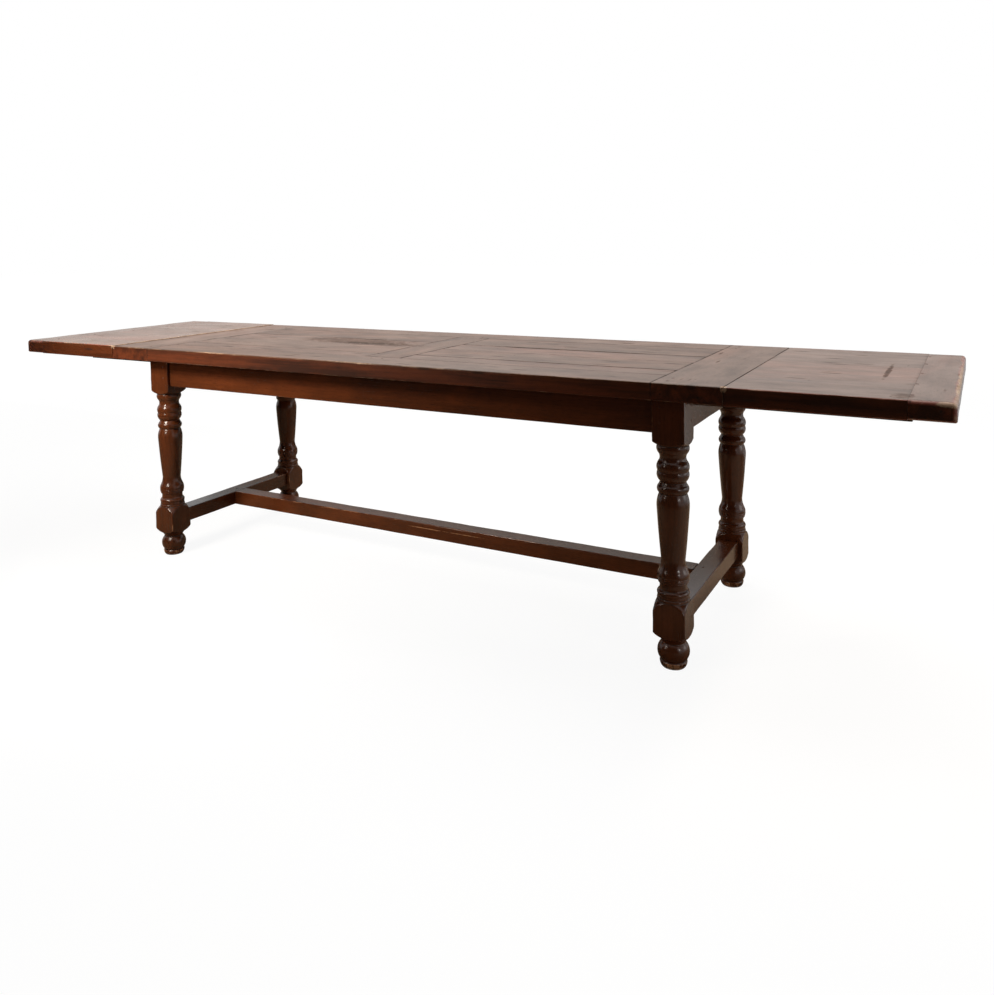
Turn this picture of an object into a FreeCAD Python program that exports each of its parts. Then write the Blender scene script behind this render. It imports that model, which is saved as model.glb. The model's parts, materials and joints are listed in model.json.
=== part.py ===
import FreeCAD, Part
import math
import os

from FreeCAD import Vector

# Refectory table with a framed plank top, four turned legs, an H-stretcher and an end leaf at each end.
# Millimetres. X runs along the table, Y from front to back, Z up, origin on the floor under the middle.

# Overall sizes
TABLE_HEIGHT = 772.0
TOP_LENGTH = 2200.0
TOP_WIDTH = 855.0
TOP_THICKNESS = 46.0
LEAF_LENGTH = 500.0
LEFT_LEAF_RISE = 2.0
LEAF_GAP = 1.5
TOP_ARRIS = 4.0

# Frame and planks of the top
TOP_END_RAIL = 180.0
TOP_SIDE_RAIL = 135.0
TOP_CENTRE_RAIL = 130.0
TOP_TENON_LENGTH = 60.0
TOP_TENON_THICKNESS = 13.0
TOP_TENON_SHOULDER = 22.0
# Plank widths from front to back; the last plank takes the rest of the panel
LEFT_PLANKS = (80.0, 182.0, 145.0)
RIGHT_PLANKS = (91.0, 163.0, 137.0)

# Boards of the leaves: the front and rear boards have their own width, the others share the rest
LEAF_EDGE_BOARD = 147.0
LEAF_MIDDLE_BOARDS = 3
LEAF_CLAMP = 97.0

# Tongues and grooves
TONGUE_LENGTH = 9.0
TONGUE_THICKNESS = 10.0

# Legs
LEG_BLOCK = 87.0
LEG_ARRIS = 2.0
LEG_END_INSET = 114.0
LEG_SIDE_INSET = 68.0
UPPER_BLOCK_DROP = 17.0
LOWER_BLOCK = 48.0
OGEE_SHOULDER = 17.0
LOWER_SHOULDER = 31.0
UPPER_SHOULDER = 14.0
SHOULDER_BULGE = 3.0
CORNER_CLEAR = 1.0
# Turnings from the floor up: height, cut below the block's face at half height, cut there at the end.
# None at half height is a straight.
FOOT_START_CUT = 10.5
FOOT_TURNINGS = (
    (4.0, 8.2, 7.3),
    (12.0, None, 7.3),
    (3.0, None, 10.5),
    (49.0, 1.0, 12.1),
    (16.0, 8.0, 0.5),
)
# Turnings of the baluster, stretched in height to fill the leg between its blocks
BALUSTER_START_CUT = 0.5
BALUSTER_TURNINGS = (
    (6.0, None, 0.5),
    (1.5, None, 3.0),
    (21.5, 1.1, 6.3),
    (18.0, 7.7, 6.3),
    (15.5, 2.9, 1.5),
    (1.0, None, 2.6),
    (1.0, None, 1.5),
    (16.5, 2.6, 5.7),
    (28.0, 10.4, 11.6),
    (140.0, 5.3, 0.6),
    (37.0, 1.6, 7.3),
    (22.0, 1.5, 5.5),
    (8.0, None, 9.5),
    (7.0, None, 4.5),
    (22.0, 1.0, 2.9),
    (26.0, 0.7, 6.0),
    (23.0, 8.9, 4.0),
    (21.0, 0.5, 2.5),
)

# Aprons
APRON_HEIGHT = 100.0
APRON_THICKNESS = 28.0
APRON_SETBACK = 12.0
APRON_TENON_THICKNESS = 12.0
APRON_TENON_SHOULDER = 15.0
TENON_MEET_GAP = 13.0
APRON_PEG_SPACING = 40.0

# Stretchers
STRETCHER_WIDTH = 60.0
STRETCHER_THICKNESS = 50.0
STRETCHER_RISE = 8.0
STRETCHER_TENON_LENGTH = 45.0
STRETCHER_TENON_WIDTH = 16.0
STRETCHER_TENON_HEIGHT = 26.0

# Arms under the leaves, and the guides across the frame that carry their inner ends
ARM_WIDTH = 50.0
ARM_DEPTH = 44.0
ARM_SPREAD = 420.0
ARM_INSIDE = 610.0
ARM_END_GAP = 3.0
ARM_TOP_CLEAR = 0.6
ARM_SIDE_CLEAR = 1.0
ARM_SEAT_CLEAR = 0.3
ARM_PAST_GUIDE = 50.0
GUIDE_THICKNESS = 40.0
GUIDE_DEPTH = 84.0
GUIDE_TENON_LENGTH = 12.0
GUIDE_TENON_THICKNESS = 16.0
GUIDE_TENON_SHOULDER = 12.0

# Buttons that hold the top to the long aprons
BUTTON_COUNT = 4
BUTTON_END_INSET = 119.0
BUTTON_LENGTH = 40.0
BUTTON_REACH = 44.0
BUTTON_HEIGHT = 20.0
BUTTON_TONGUE = 10.0
BUTTON_TONGUE_HEIGHT = 9.0
BUTTON_SLOT_CLEAR = 0.5
BUTTON_SCREW_INSET = 14.0

# Pegs and screws
PEG_RADIUS = 4.5
PEG_PAST_TENON = 10.0
PEG_STOP = 5.0
TOP_PEG_INSET = 22.0
SCREW_RADIUS = 2.2
SCREW_HEAD_RADIUS = 4.5
SCREW_HEAD_HEIGHT = 3.0
SCREW_BITE = 22.0
ARM_SCREW_COUNT = 3
ARM_SCREW_END = 50.0

# Clearances of the joints
TENON_FIT = 0.2
TENON_END_GAP = 1.0
PEG_FIT = 0.05
SCREW_FIT = 0.05

# Overrun of cuts that are open at a face, and the distance at which two places count as one
CUT_OVERRUN = 1.0
SAME_PLACE = 1e-6

# Heights and places worked out from the sizes above
underside = TABLE_HEIGHT - TOP_THICKNESS
half_top = TOP_LENGTH / 2
half_width = TOP_WIDTH / 2
half_block = LEG_BLOCK / 2
leg_x = half_top - LEG_END_INSET - half_block
leg_y = half_width - LEG_SIDE_INSET - half_block
end_rail_x = half_top - TOP_END_RAIL
panel_y = half_width - TOP_SIDE_RAIL
centre_rail_x = TOP_CENTRE_RAIL / 2

apron_low = underside - APRON_HEIGHT
long_apron_out = leg_y + half_block - APRON_SETBACK
long_apron_in = long_apron_out - APRON_THICKNESS
long_apron_mid = (long_apron_out + long_apron_in) / 2
end_apron_out = leg_x + half_block - APRON_SETBACK
end_apron_in = end_apron_out - APRON_THICKNESS
end_apron_mid = (end_apron_out + end_apron_in) / 2
apron_tenon_low = apron_low + APRON_TENON_SHOULDER
apron_tenon_high = underside - APRON_TENON_SHOULDER
apron_tenon_mid = (apron_tenon_low + apron_tenon_high) / 2
half_apron_tenon = APRON_TENON_THICKNESS / 2
long_tenon_start = leg_x - half_block
long_tenon_end = end_apron_mid - half_apron_tenon - TENON_MEET_GAP
end_tenon_start = leg_y - half_block
end_tenon_end = long_apron_mid - half_apron_tenon - TENON_MEET_GAP

foot_height = sum(row[0] for row in FOOT_TURNINGS) + OGEE_SHOULDER
lower_block_top = foot_height + LOWER_BLOCK
upper_block = APRON_HEIGHT + UPPER_BLOCK_DROP
baluster_height = underside - upper_block - UPPER_SHOULDER - LOWER_SHOULDER - lower_block_top
baluster_stretch = baluster_height / sum(row[0] for row in BALUSTER_TURNINGS)

stretcher_low = foot_height + STRETCHER_RISE
stretcher_high = stretcher_low + STRETCHER_THICKNESS
stretcher_mid = (stretcher_low + stretcher_high) / 2
half_stretcher = STRETCHER_WIDTH / 2
half_stretcher_tenon = STRETCHER_TENON_WIDTH / 2
stretcher_tenon_low = stretcher_mid - STRETCHER_TENON_HEIGHT / 2
stretcher_tenon_high = stretcher_mid + STRETCHER_TENON_HEIGHT / 2

leaf_in = half_top + LEAF_GAP
leaf_out = half_top + LEAF_LENGTH
clamp_in = leaf_out - LEAF_CLAMP
arm_in = half_top - ARM_INSIDE
arm_out = clamp_in - ARM_END_GAP
arm_low = underside - ARM_DEPTH
guide_x = arm_in + ARM_PAST_GUIDE + GUIDE_THICKNESS / 2
arm_y_out = ARM_SPREAD / 2
arm_y_in = arm_y_out - ARM_WIDTH
arm_y_mid = (arm_y_out + arm_y_in) / 2
leaf_edge_tongue_in = leaf_in + 2 * TOP_ARRIS
leaf_middle_board = (TOP_WIDTH - 2 * LEAF_EDGE_BOARD) / LEAF_MIDDLE_BOARDS
last_button = long_tenon_start - BUTTON_END_INSET
button_step = 2 * last_button / (BUTTON_COUNT - 1)
button_places = [index * button_step - last_button for index in range(BUTTON_COUNT)]

tongue_low = underside + (TOP_THICKNESS - TONGUE_THICKNESS) / 2
tongue_high = tongue_low + TONGUE_THICKNESS
top_tenon_low = underside + (TOP_THICKNESS - TOP_TENON_THICKNESS) / 2
top_tenon_high = top_tenon_low + TOP_TENON_THICKNESS

LEFT, RIGHT = SIDES = (-1, 1)
FRONT, REAR = FACES = (-1, 1)
SIDE_NAMES = {LEFT: "left", RIGHT: "right"}
FACE_NAMES = {FRONT: "front", REAR: "rear"}


def block(xs, ys, zs):
    """Box between two corners, whichever order each pair of coordinates is given in."""
    low = Vector(min(xs), min(ys), min(zs))
    size = (abs(xs[1] - xs[0]), abs(ys[1] - ys[0]), abs(zs[1] - zs[0]))
    return Part.makeBox(size[0], size[1], size[2], low)


def signed(side, low, high):
    """Pair of coordinates on one side of the middle."""
    return (side * low, side * high)


def rounded_block(xs, ys, zs, open_faces, radius):
    """Box whose arrises are rounded along the upright faces named, such as "x+" or "y-"."""
    solid = block(xs, ys, zs)
    upright = {"x-": (0, min(xs)), "x+": (0, max(xs)), "y-": (1, min(ys)), "y+": (1, max(ys))}
    chosen = []
    for edge in solid.Edges:
        middle = edge.CenterOfMass
        faces = {name for name, (axis, place) in upright.items() if abs(middle[axis] - place) < SAME_PLACE}
        if faces and faces <= set(open_faces):
            chosen.append(edge)
    return solid.makeFillet(radius, chosen)


def cut_all(solid, tools):
    """Solid with every tool that reaches it cut away."""
    for tool in tools:
        if tool.BoundBox.intersect(solid.BoundBox):
            solid = solid.cut(tool)
    return solid


def grown(pair, amount):
    """Pair of coordinates widened by the same amount at both ends."""
    return (min(pair) - amount, max(pair) + amount)


def save(name, shape):
    """Write one piece, or a group of like pieces, to its own file."""
    solids = shape.Solids
    if not solids or not all(solid.isValid() and solid.Volume > 0 for solid in solids):
        raise ValueError("bad solid in " + name)
    result = solids[0] if len(solids) == 1 else Part.makeCompound(solids)
    result.exportStep("parts/" + name + ".step")


# Fasteners

def peg(start, direction, length, fit=0.0):
    """Round peg from its visible end inwards; with a fit it is the hole for that peg."""
    return Part.makeCylinder(PEG_RADIUS + fit, length, start, direction)


def screw(x, y, head_z, length, fit=0.0):
    """Countersunk screw driven upwards; with a fit it is the hole for that screw."""
    profile = [
        Vector(0, 0, 0),
        Vector(SCREW_HEAD_RADIUS + fit, 0, 0),
        Vector(SCREW_RADIUS + fit, 0, SCREW_HEAD_HEIGHT),
        Vector(SCREW_RADIUS + fit, 0, length + fit),
        Vector(0, 0, length + fit),
        Vector(0, 0, 0),
    ]
    solid = Part.Face(Part.makePolygon(profile)).revolve(Vector(0, 0, 0), Vector(0, 0, 1), 360)
    solid.translate(Vector(x, y, head_z))
    return solid


def apron_pegs(side, face, fit=0.0):
    """Two pegs through each apron tenon in one leg, driven from the leg's outer faces."""
    depth = APRON_SETBACK + APRON_THICKNESS / 2 + half_apron_tenon + PEG_PAST_TENON
    long_mid = (long_tenon_start + long_tenon_end) / 2
    end_mid = (end_tenon_start + end_tenon_end) / 2
    pegs = []
    for step in (-APRON_PEG_SPACING / 2, APRON_PEG_SPACING / 2):
        height = apron_tenon_mid + step
        front_start = Vector(side * long_mid, face * (leg_y + half_block), height)
        end_start = Vector(side * (leg_x + half_block), face * end_mid, height)
        pegs.append(peg(front_start, Vector(0, -face, 0), depth, fit))
        pegs.append(peg(end_start, Vector(-side, 0, 0), depth, fit))
    return pegs


def leg_stretcher_peg(side, face, fit=0.0):
    """Peg through the end stretcher's tenon in one leg, driven from the leg's outer end face."""
    depth = half_block + half_stretcher_tenon + PEG_PAST_TENON
    tenon_mid = leg_y - half_block + STRETCHER_TENON_LENGTH / 2
    start = Vector(side * (leg_x + half_block), face * tenon_mid, stretcher_mid)
    return peg(start, Vector(-side, 0, 0), depth, fit)


def centre_stretcher_peg(side, fit=0.0):
    """Peg down through the centre stretcher's tenon in one end stretcher."""
    tenon_mid = leg_x - half_stretcher + STRETCHER_TENON_LENGTH / 2
    start = Vector(side * tenon_mid, 0, stretcher_high)
    return peg(start, Vector(0, 0, -1), STRETCHER_THICKNESS - PEG_STOP, fit)


def top_pegs(fit=0.0):
    """Pegs through the frame joints of the top: two at each corner, two at each end of the centre rail."""
    starts = []
    corner_x = end_rail_x + TOP_TENON_LENGTH / 2
    corner_y = panel_y + TOP_SIDE_RAIL / 2
    corner_step = TOP_SIDE_RAIL / 2 - TOP_TENON_SHOULDER - TOP_PEG_INSET
    centre_y = panel_y + TOP_TENON_LENGTH / 2
    centre_step = centre_rail_x - TOP_TENON_SHOULDER - TOP_PEG_INSET
    for face in FACES:
        for sign in SIDES:
            for step in (-corner_step, corner_step):
                starts.append(Vector(sign * corner_x, face * (corner_y + step), TABLE_HEIGHT))
            starts.append(Vector(sign * centre_step, face * centre_y, TABLE_HEIGHT))
    depth = TOP_THICKNESS - PEG_STOP
    return [peg(start, Vector(0, 0, -1), depth, fit) for start in starts]


def clamp_pegs(side, fit=0.0):
    """One peg down through the clamp and the tongue of each leaf board."""
    top = leaf_top(side)
    depth = top - underside - PEG_STOP
    pegs = []
    for low, high in leaf_lines():
        start = Vector(side * (clamp_in + TONGUE_LENGTH / 2), (low + high) / 2, top)
        pegs.append(peg(start, Vector(0, 0, -1), depth, fit))
    return pegs


def arm_screws(side, fit=0.0):
    """Screws up through both arms of one leaf into its boards."""
    first = leaf_in + ARM_SCREW_END
    step = (arm_out - ARM_SCREW_END - first) / (ARM_SCREW_COUNT - 1)
    places = [first + index * step for index in range(ARM_SCREW_COUNT)]
    length = ARM_DEPTH + SCREW_BITE
    spots = [(side * x, face * arm_y_mid) for face in FACES for x in places]
    return [screw(x, y, arm_low, length, fit) for x, y in spots]


def button_screws(fit=0.0):
    """Screws up through the buttons into the long rails of the top."""
    y = long_apron_in - BUTTON_SCREW_INSET
    low = underside - BUTTON_HEIGHT
    length = BUTTON_HEIGHT + SCREW_BITE
    return [screw(x, face * y, low, length, fit) for face in FACES for x in button_places]


# Legs

def corner_radius():
    """Radius that just clears the corners of the leg's square block."""
    return LEG_BLOCK / math.sqrt(2) + CORNER_CLEAR


def shoulder(height, start, end):
    """Round shoulder between a turned radius and the block's corners: its arc stands out by the bulge."""
    return (height, (start + end) / 2 + SHOULDER_BULGE, end)


def turned_rows(turnings, stretch):
    """Turnings as rows of height, crown radius or None, and end radius."""
    rows = []
    for height, crown, end in turnings:
        crown_radius = None if crown is None else half_block - crown
        rows.append((height * stretch, crown_radius, half_block - end))
    return rows


def leg_rows():
    """Whole outline of the leg from the floor up; the blocks are straights outside the square's corners."""
    corner = corner_radius()
    foot = turned_rows(FOOT_TURNINGS, 1.0)
    baluster = turned_rows(BALUSTER_TURNINGS, baluster_stretch)
    rows = list(foot)
    rows.append(shoulder(OGEE_SHOULDER, foot[-1][2], corner))
    rows.append((LOWER_BLOCK, None, corner))
    rows.append(shoulder(LOWER_SHOULDER, corner, half_block - BALUSTER_START_CUT))
    rows.extend(baluster)
    rows.append(shoulder(UPPER_SHOULDER, baluster[-1][2], corner))
    rows.append((upper_block, None, corner))
    return rows


def turned_solid(start_radius, rows):
    """Solid of revolution about Z: each row is an arc through its crown at half height, or a straight."""
    point = Vector(start_radius, 0, 0)
    edges = [Part.LineSegment(Vector(0, 0, 0), point).toShape()]
    for height, crown, end in rows:
        tip = Vector(end, 0, point.z + height)
        if crown is None:
            edges.append(Part.LineSegment(point, tip).toShape())
        else:
            edges.append(Part.Arc(point, Vector(crown, 0, point.z + height / 2), tip).toShape())
        point = tip
    axis_top = Vector(0, 0, point.z)
    edges.append(Part.LineSegment(point, axis_top).toShape())
    edges.append(Part.LineSegment(axis_top, Vector(0, 0, 0)).toShape())
    return Part.Face(Part.Wire(edges)).revolve(Vector(0, 0, 0), Vector(0, 0, 1), 360)


def leg(side, face):
    """Square post turned between its blocks, mortised for two aprons and a stretcher, with peg holes."""
    span = (-half_block, half_block)
    post = block(span, span, (0, underside))
    corners = [edge for edge in post.Edges if abs(edge.Vertexes[0].Z - edge.Vertexes[1].Z) > SAME_PLACE]
    post = post.makeFillet(LEG_ARRIS, corners)
    solid = post.common(turned_solid(half_block - FOOT_START_CUT, leg_rows()))
    solid.translate(Vector(side * leg_x, face * leg_y, 0))
    tenon_height = (apron_tenon_low - TENON_FIT, apron_tenon_high + TENON_FIT)
    mortise_half = half_apron_tenon + TENON_FIT
    long_mortise = block(
        signed(side, long_tenon_start, long_tenon_end + TENON_END_GAP),
        signed(face, long_apron_mid - mortise_half, long_apron_mid + mortise_half),
        tenon_height,
    )
    end_mortise = block(
        signed(side, end_apron_mid - mortise_half, end_apron_mid + mortise_half),
        signed(face, end_tenon_start, end_tenon_end + TENON_END_GAP),
        tenon_height,
    )
    stretcher_half = half_stretcher_tenon + TENON_FIT
    stretcher_start = leg_y - half_block
    stretcher_mortise = block(
        signed(side, leg_x - stretcher_half, leg_x + stretcher_half),
        signed(face, stretcher_start, stretcher_start + STRETCHER_TENON_LENGTH + TENON_END_GAP),
        grown((stretcher_tenon_low, stretcher_tenon_high), TENON_FIT),
    )
    holes = apron_pegs(side, face, PEG_FIT) + [leg_stretcher_peg(side, face, PEG_FIT)]
    return cut_all(solid, [long_mortise, end_mortise, stretcher_mortise] + holes)


# Aprons, guides and buttons

def all_apron_peg_holes():
    """Holes for the pegs of every apron tenon."""
    corners = [(side, face) for side in SIDES for face in FACES]
    return [hole for side, face in corners for hole in apron_pegs(side, face, PEG_FIT)]


def long_apron(face):
    """Front or rear apron with a tenon at each end, sockets for the guides and slots for the buttons."""
    board = block(
        (-long_tenon_start, long_tenon_start),
        signed(face, long_apron_in, long_apron_out),
        (apron_low, underside),
    )
    tenon = block(
        (-long_tenon_end, long_tenon_end),
        signed(face, long_apron_mid - half_apron_tenon, long_apron_mid + half_apron_tenon),
        (apron_tenon_low, apron_tenon_high),
    )
    sockets = [guide_socket(side, face) for side in SIDES]
    slots = [button_slot(place, face) for place in button_places]
    return cut_all(board.fuse(tenon).removeSplitter(), sockets + slots + all_apron_peg_holes())


def arm_notch(xs, face):
    """Notch for one arm, open to the underside of the top."""
    return block(
        grown(xs, CUT_OVERRUN),
        signed(face, arm_y_in - ARM_SIDE_CLEAR, arm_y_out + ARM_SIDE_CLEAR),
        (arm_low - ARM_SEAT_CLEAR, underside + CUT_OVERRUN),
    )


def end_apron(side):
    """End apron with a tenon at each end and two notches that the leaf's arms slide in."""
    span = signed(side, end_apron_in, end_apron_out)
    board = block(span, (-end_tenon_start, end_tenon_start), (apron_low, underside))
    tenon = block(
        signed(side, end_apron_mid - half_apron_tenon, end_apron_mid + half_apron_tenon),
        (-end_tenon_end, end_tenon_end),
        (apron_tenon_low, apron_tenon_high),
    )
    notches = [arm_notch(span, face) for face in FACES]
    return cut_all(board.fuse(tenon).removeSplitter(), notches + all_apron_peg_holes())


def guide_tenon(side, face, fit=0.0):
    """Tenon of a guide in a long apron; with a fit it is the socket."""
    half = GUIDE_TENON_THICKNESS / 2 + fit
    end = long_apron_in + GUIDE_TENON_LENGTH
    low = underside - GUIDE_DEPTH + GUIDE_TENON_SHOULDER
    high = underside - GUIDE_TENON_SHOULDER
    return block(
        signed(side, guide_x - half, guide_x + half),
        signed(face, long_apron_in, end + (TENON_END_GAP if fit else 0.0)),
        grown((low, high), fit),
    )


def guide_socket(side, face):
    """Socket in a long apron for the guide's tenon."""
    return guide_tenon(side, face, TENON_FIT)


def arm_guide(side):
    """Rail across the frame, notched for the arms, with a short tenon in each long apron."""
    half = GUIDE_THICKNESS / 2
    span = signed(side, guide_x - half, guide_x + half)
    rail = block(span, (-long_apron_in, long_apron_in), (underside - GUIDE_DEPTH, underside))
    for face in FACES:
        rail = rail.fuse(guide_tenon(side, face))
    return cut_all(rail.removeSplitter(), [arm_notch(span, face) for face in FACES])


def button_tongue(place, face, fit=0.0):
    """Tongue of a button in the long apron; with a fit it is the slot."""
    low = underside - BUTTON_HEIGHT
    half = BUTTON_LENGTH / 2
    return block(
        grown((place - half, place + half), fit),
        signed(face, long_apron_in, long_apron_in + BUTTON_TONGUE + fit),
        grown((low, low + BUTTON_TONGUE_HEIGHT), fit),
    )


def button_slot(place, face):
    """Slot in the long apron for a button's tongue."""
    return button_tongue(place, face, BUTTON_SLOT_CLEAR)


def top_button(place, face):
    """Wooden button under the top, its tongue in the apron and a screw hole through it."""
    half = BUTTON_LENGTH / 2
    body = block(
        (place - half, place + half),
        signed(face, long_apron_in - BUTTON_REACH, long_apron_in),
        (underside - BUTTON_HEIGHT, underside),
    )
    return cut_all(body.fuse(button_tongue(place, face)).removeSplitter(), button_screws(SCREW_FIT))


# Stretchers

def end_stretcher(side):
    """Stretcher between two legs, tenoned into their lower blocks and mortised for the centre stretcher."""
    start = leg_y - half_block
    board = block(
        signed(side, leg_x - half_stretcher, leg_x + half_stretcher),
        (-start, start),
        (stretcher_low, stretcher_high),
    )
    tenon = block(
        signed(side, leg_x - half_stretcher_tenon, leg_x + half_stretcher_tenon),
        (-start - STRETCHER_TENON_LENGTH, start + STRETCHER_TENON_LENGTH),
        (stretcher_tenon_low, stretcher_tenon_high),
    )
    inner = leg_x - half_stretcher
    mortise = block(
        signed(side, inner, inner + STRETCHER_TENON_LENGTH + TENON_END_GAP),
        grown((-half_stretcher_tenon, half_stretcher_tenon), TENON_FIT),
        grown((stretcher_tenon_low, stretcher_tenon_high), TENON_FIT),
    )
    holes = [leg_stretcher_peg(side, face, PEG_FIT) for face in FACES]
    holes.append(centre_stretcher_peg(side, PEG_FIT))
    return cut_all(board.fuse(tenon).removeSplitter(), [mortise] + holes)


def centre_stretcher():
    """Long stretcher between the end stretchers, with a tenon at each end."""
    inner = leg_x - half_stretcher
    board = block((-inner, inner), (-half_stretcher, half_stretcher), (stretcher_low, stretcher_high))
    tenon = block(
        (-inner - STRETCHER_TENON_LENGTH, inner + STRETCHER_TENON_LENGTH),
        (-half_stretcher_tenon, half_stretcher_tenon),
        (stretcher_tenon_low, stretcher_tenon_high),
    )
    holes = [centre_stretcher_peg(side, PEG_FIT) for side in SIDES]
    return cut_all(board.fuse(tenon).removeSplitter(), holes)


# Main top

def lines(start, widths, end):
    """Edges of boards laid side by side from start; the last one takes the rest up to end."""
    edges = [start]
    for width in widths:
        edges.append(edges[-1] + width)
    edges.append(end)
    return list(zip(edges[:-1], edges[1:]))


def tongue(xs, ys, fit=0.0):
    """Tongue at half the thickness of the boards; with a fit it is the groove."""
    return block(xs, ys, grown((tongue_low, tongue_high), fit))


def top_holes():
    """Holes in the top for its own pegs and for the screws of the buttons."""
    return top_pegs(PEG_FIT) + button_screws(SCREW_FIT)


def top_end_rail(side):
    """Rail right across the end of the top, mortised for the long rails and grooved for the planks."""
    outer = "x+" if side == RIGHT else "x-"
    rail = rounded_block(
        signed(side, end_rail_x, half_top),
        (-half_width, half_width),
        (underside, TABLE_HEIGHT),
        (outer, "y-", "y+"),
        TOP_ARRIS,
    )
    groove_end = end_rail_x + TONGUE_LENGTH + TENON_END_GAP
    tools = [tongue(signed(side, end_rail_x, groove_end), (-panel_y, panel_y), TENON_FIT)]
    for face in FACES:
        tools.append(side_rail_tenon(side, face, TENON_FIT))
    return cut_all(rail, tools + top_holes())


def side_rail_tenon(side, face, fit=0.0):
    """Tenon of a long rail in an end rail; with a fit it is the mortise."""
    gap = TENON_END_GAP if fit else 0.0
    return block(
        signed(side, end_rail_x, end_rail_x + TOP_TENON_LENGTH + gap),
        grown(signed(face, panel_y + TOP_TENON_SHOULDER, half_width - TOP_TENON_SHOULDER), fit),
        grown((top_tenon_low, top_tenon_high), fit),
    )


def centre_rail_tenon(face, fit=0.0):
    """Tenon of the centre rail in a long rail; with a fit it is the mortise."""
    gap = TENON_END_GAP if fit else 0.0
    reach = centre_rail_x - TOP_TENON_SHOULDER
    return block(
        grown((-reach, reach), fit),
        signed(face, panel_y, panel_y + TOP_TENON_LENGTH + gap),
        grown((top_tenon_low, top_tenon_high), fit),
    )


def top_side_rail(face):
    """Front or rear rail of the top between the end rails, grooved for the planks of both panels."""
    outer = "y+" if face == REAR else "y-"
    rail = rounded_block(
        (-end_rail_x, end_rail_x),
        signed(face, panel_y, half_width),
        (underside, TABLE_HEIGHT),
        (outer,),
        TOP_ARRIS,
    )
    groove_end = panel_y + TONGUE_LENGTH + TENON_END_GAP
    tools = [centre_rail_tenon(face, TENON_FIT)]
    for side in SIDES:
        rail = rail.fuse(side_rail_tenon(side, face))
        groove_xs = signed(side, centre_rail_x, end_rail_x)
        tools.append(tongue(groove_xs, signed(face, panel_y, groove_end), TENON_FIT))
    return cut_all(rail.removeSplitter(), tools + top_holes())


def top_centre_rail():
    """Cross rail in the middle of the top, tenoned into the long rails and grooved for the planks."""
    rail = block((-centre_rail_x, centre_rail_x), (-panel_y, panel_y), (underside, TABLE_HEIGHT))
    groove_start = centre_rail_x - TONGUE_LENGTH - TENON_END_GAP
    tools = []
    for side in SIDES:
        tools.append(tongue(signed(side, groove_start, centre_rail_x), (-panel_y, panel_y), TENON_FIT))
    for face in FACES:
        rail = rail.fuse(centre_rail_tenon(face))
    return cut_all(rail.removeSplitter(), tools + top_holes())


def top_plank(side, low, high):
    """Plank of a panel: tongued at both ends and at its front edge, grooved or tongued at its rear edge."""
    xs = signed(side, centre_rail_x, end_rail_x)
    plank = block(xs, (low, high), (underside, TABLE_HEIGHT))
    plank = plank.fuse(tongue(grown(xs, TONGUE_LENGTH), (low, high)))
    plank = plank.fuse(tongue(xs, (low - TONGUE_LENGTH, low)))
    if high == panel_y:
        plank = plank.fuse(tongue(xs, (high, high + TONGUE_LENGTH)))
        groove = []
    else:
        groove_start = high - TONGUE_LENGTH - TENON_END_GAP
        groove = [tongue(grown(xs, TONGUE_LENGTH), (groove_start, high), TENON_FIT)]
    return cut_all(plank.removeSplitter(), groove + top_holes())


# Leaves

def leaf_top(side):
    """Height of a leaf's upper face."""
    return TABLE_HEIGHT + (LEFT_LEAF_RISE if side == LEFT else 0.0)


def leaf_lines():
    """Front and rear edges of a leaf's boards."""
    widths = [LEAF_EDGE_BOARD] + [leaf_middle_board] * LEAF_MIDDLE_BOARDS
    return lines(-half_width, widths, half_width)


def leaf_board(side, low, high):
    """Board of a leaf: rounded inner end, tongue in the clamp, tongue and groove at its edges."""
    xs = signed(side, leaf_in, clamp_in)
    inner = "x-" if side == RIGHT else "x+"
    open_faces = [inner]
    if low == -half_width:
        open_faces.append("y-")
    if high == half_width:
        open_faces.append("y+")
    board = rounded_block(xs, (low, high), (underside, leaf_top(side)), open_faces, TOP_ARRIS)
    end_tongue_xs = signed(side, clamp_in, clamp_in + TONGUE_LENGTH)
    board = board.fuse(tongue(end_tongue_xs, board_tongue_span(low, high)))
    tools = clamp_pegs(side, PEG_FIT) + arm_screws(side, SCREW_FIT)
    edge_xs = signed(side, leaf_edge_tongue_in, clamp_in)
    if low > -half_width:
        board = board.fuse(tongue(edge_xs, (low - TONGUE_LENGTH, low)))
    if high < half_width:
        groove_start = high - TONGUE_LENGTH - TENON_END_GAP
        groove_xs = signed(side, leaf_edge_tongue_in - TENON_FIT, clamp_in + TONGUE_LENGTH)
        tools.append(tongue(groove_xs, (groove_start, high), TENON_FIT))
    return cut_all(board.removeSplitter(), tools)


def board_tongue_span(low, high):
    """Width of a board's end tongue, held back from the leaf's own edges."""
    return (max(low, TOP_TENON_SHOULDER - half_width), min(high, half_width - TOP_TENON_SHOULDER))


def leaf_clamp(side):
    """Cross clamp at the outer end of a leaf, grooved for the tongues of its boards."""
    outer = "x+" if side == RIGHT else "x-"
    clamp = rounded_block(
        signed(side, clamp_in, leaf_out),
        (-half_width, half_width),
        (underside, leaf_top(side)),
        (outer, "y-", "y+"),
        TOP_ARRIS,
    )
    reach = half_width - TOP_TENON_SHOULDER
    groove_xs = signed(side, clamp_in, clamp_in + TONGUE_LENGTH + TENON_END_GAP)
    groove = tongue(groove_xs, grown((-reach, reach), TENON_FIT), TENON_FIT)
    return cut_all(clamp, [groove] + clamp_pegs(side, PEG_FIT))


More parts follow.
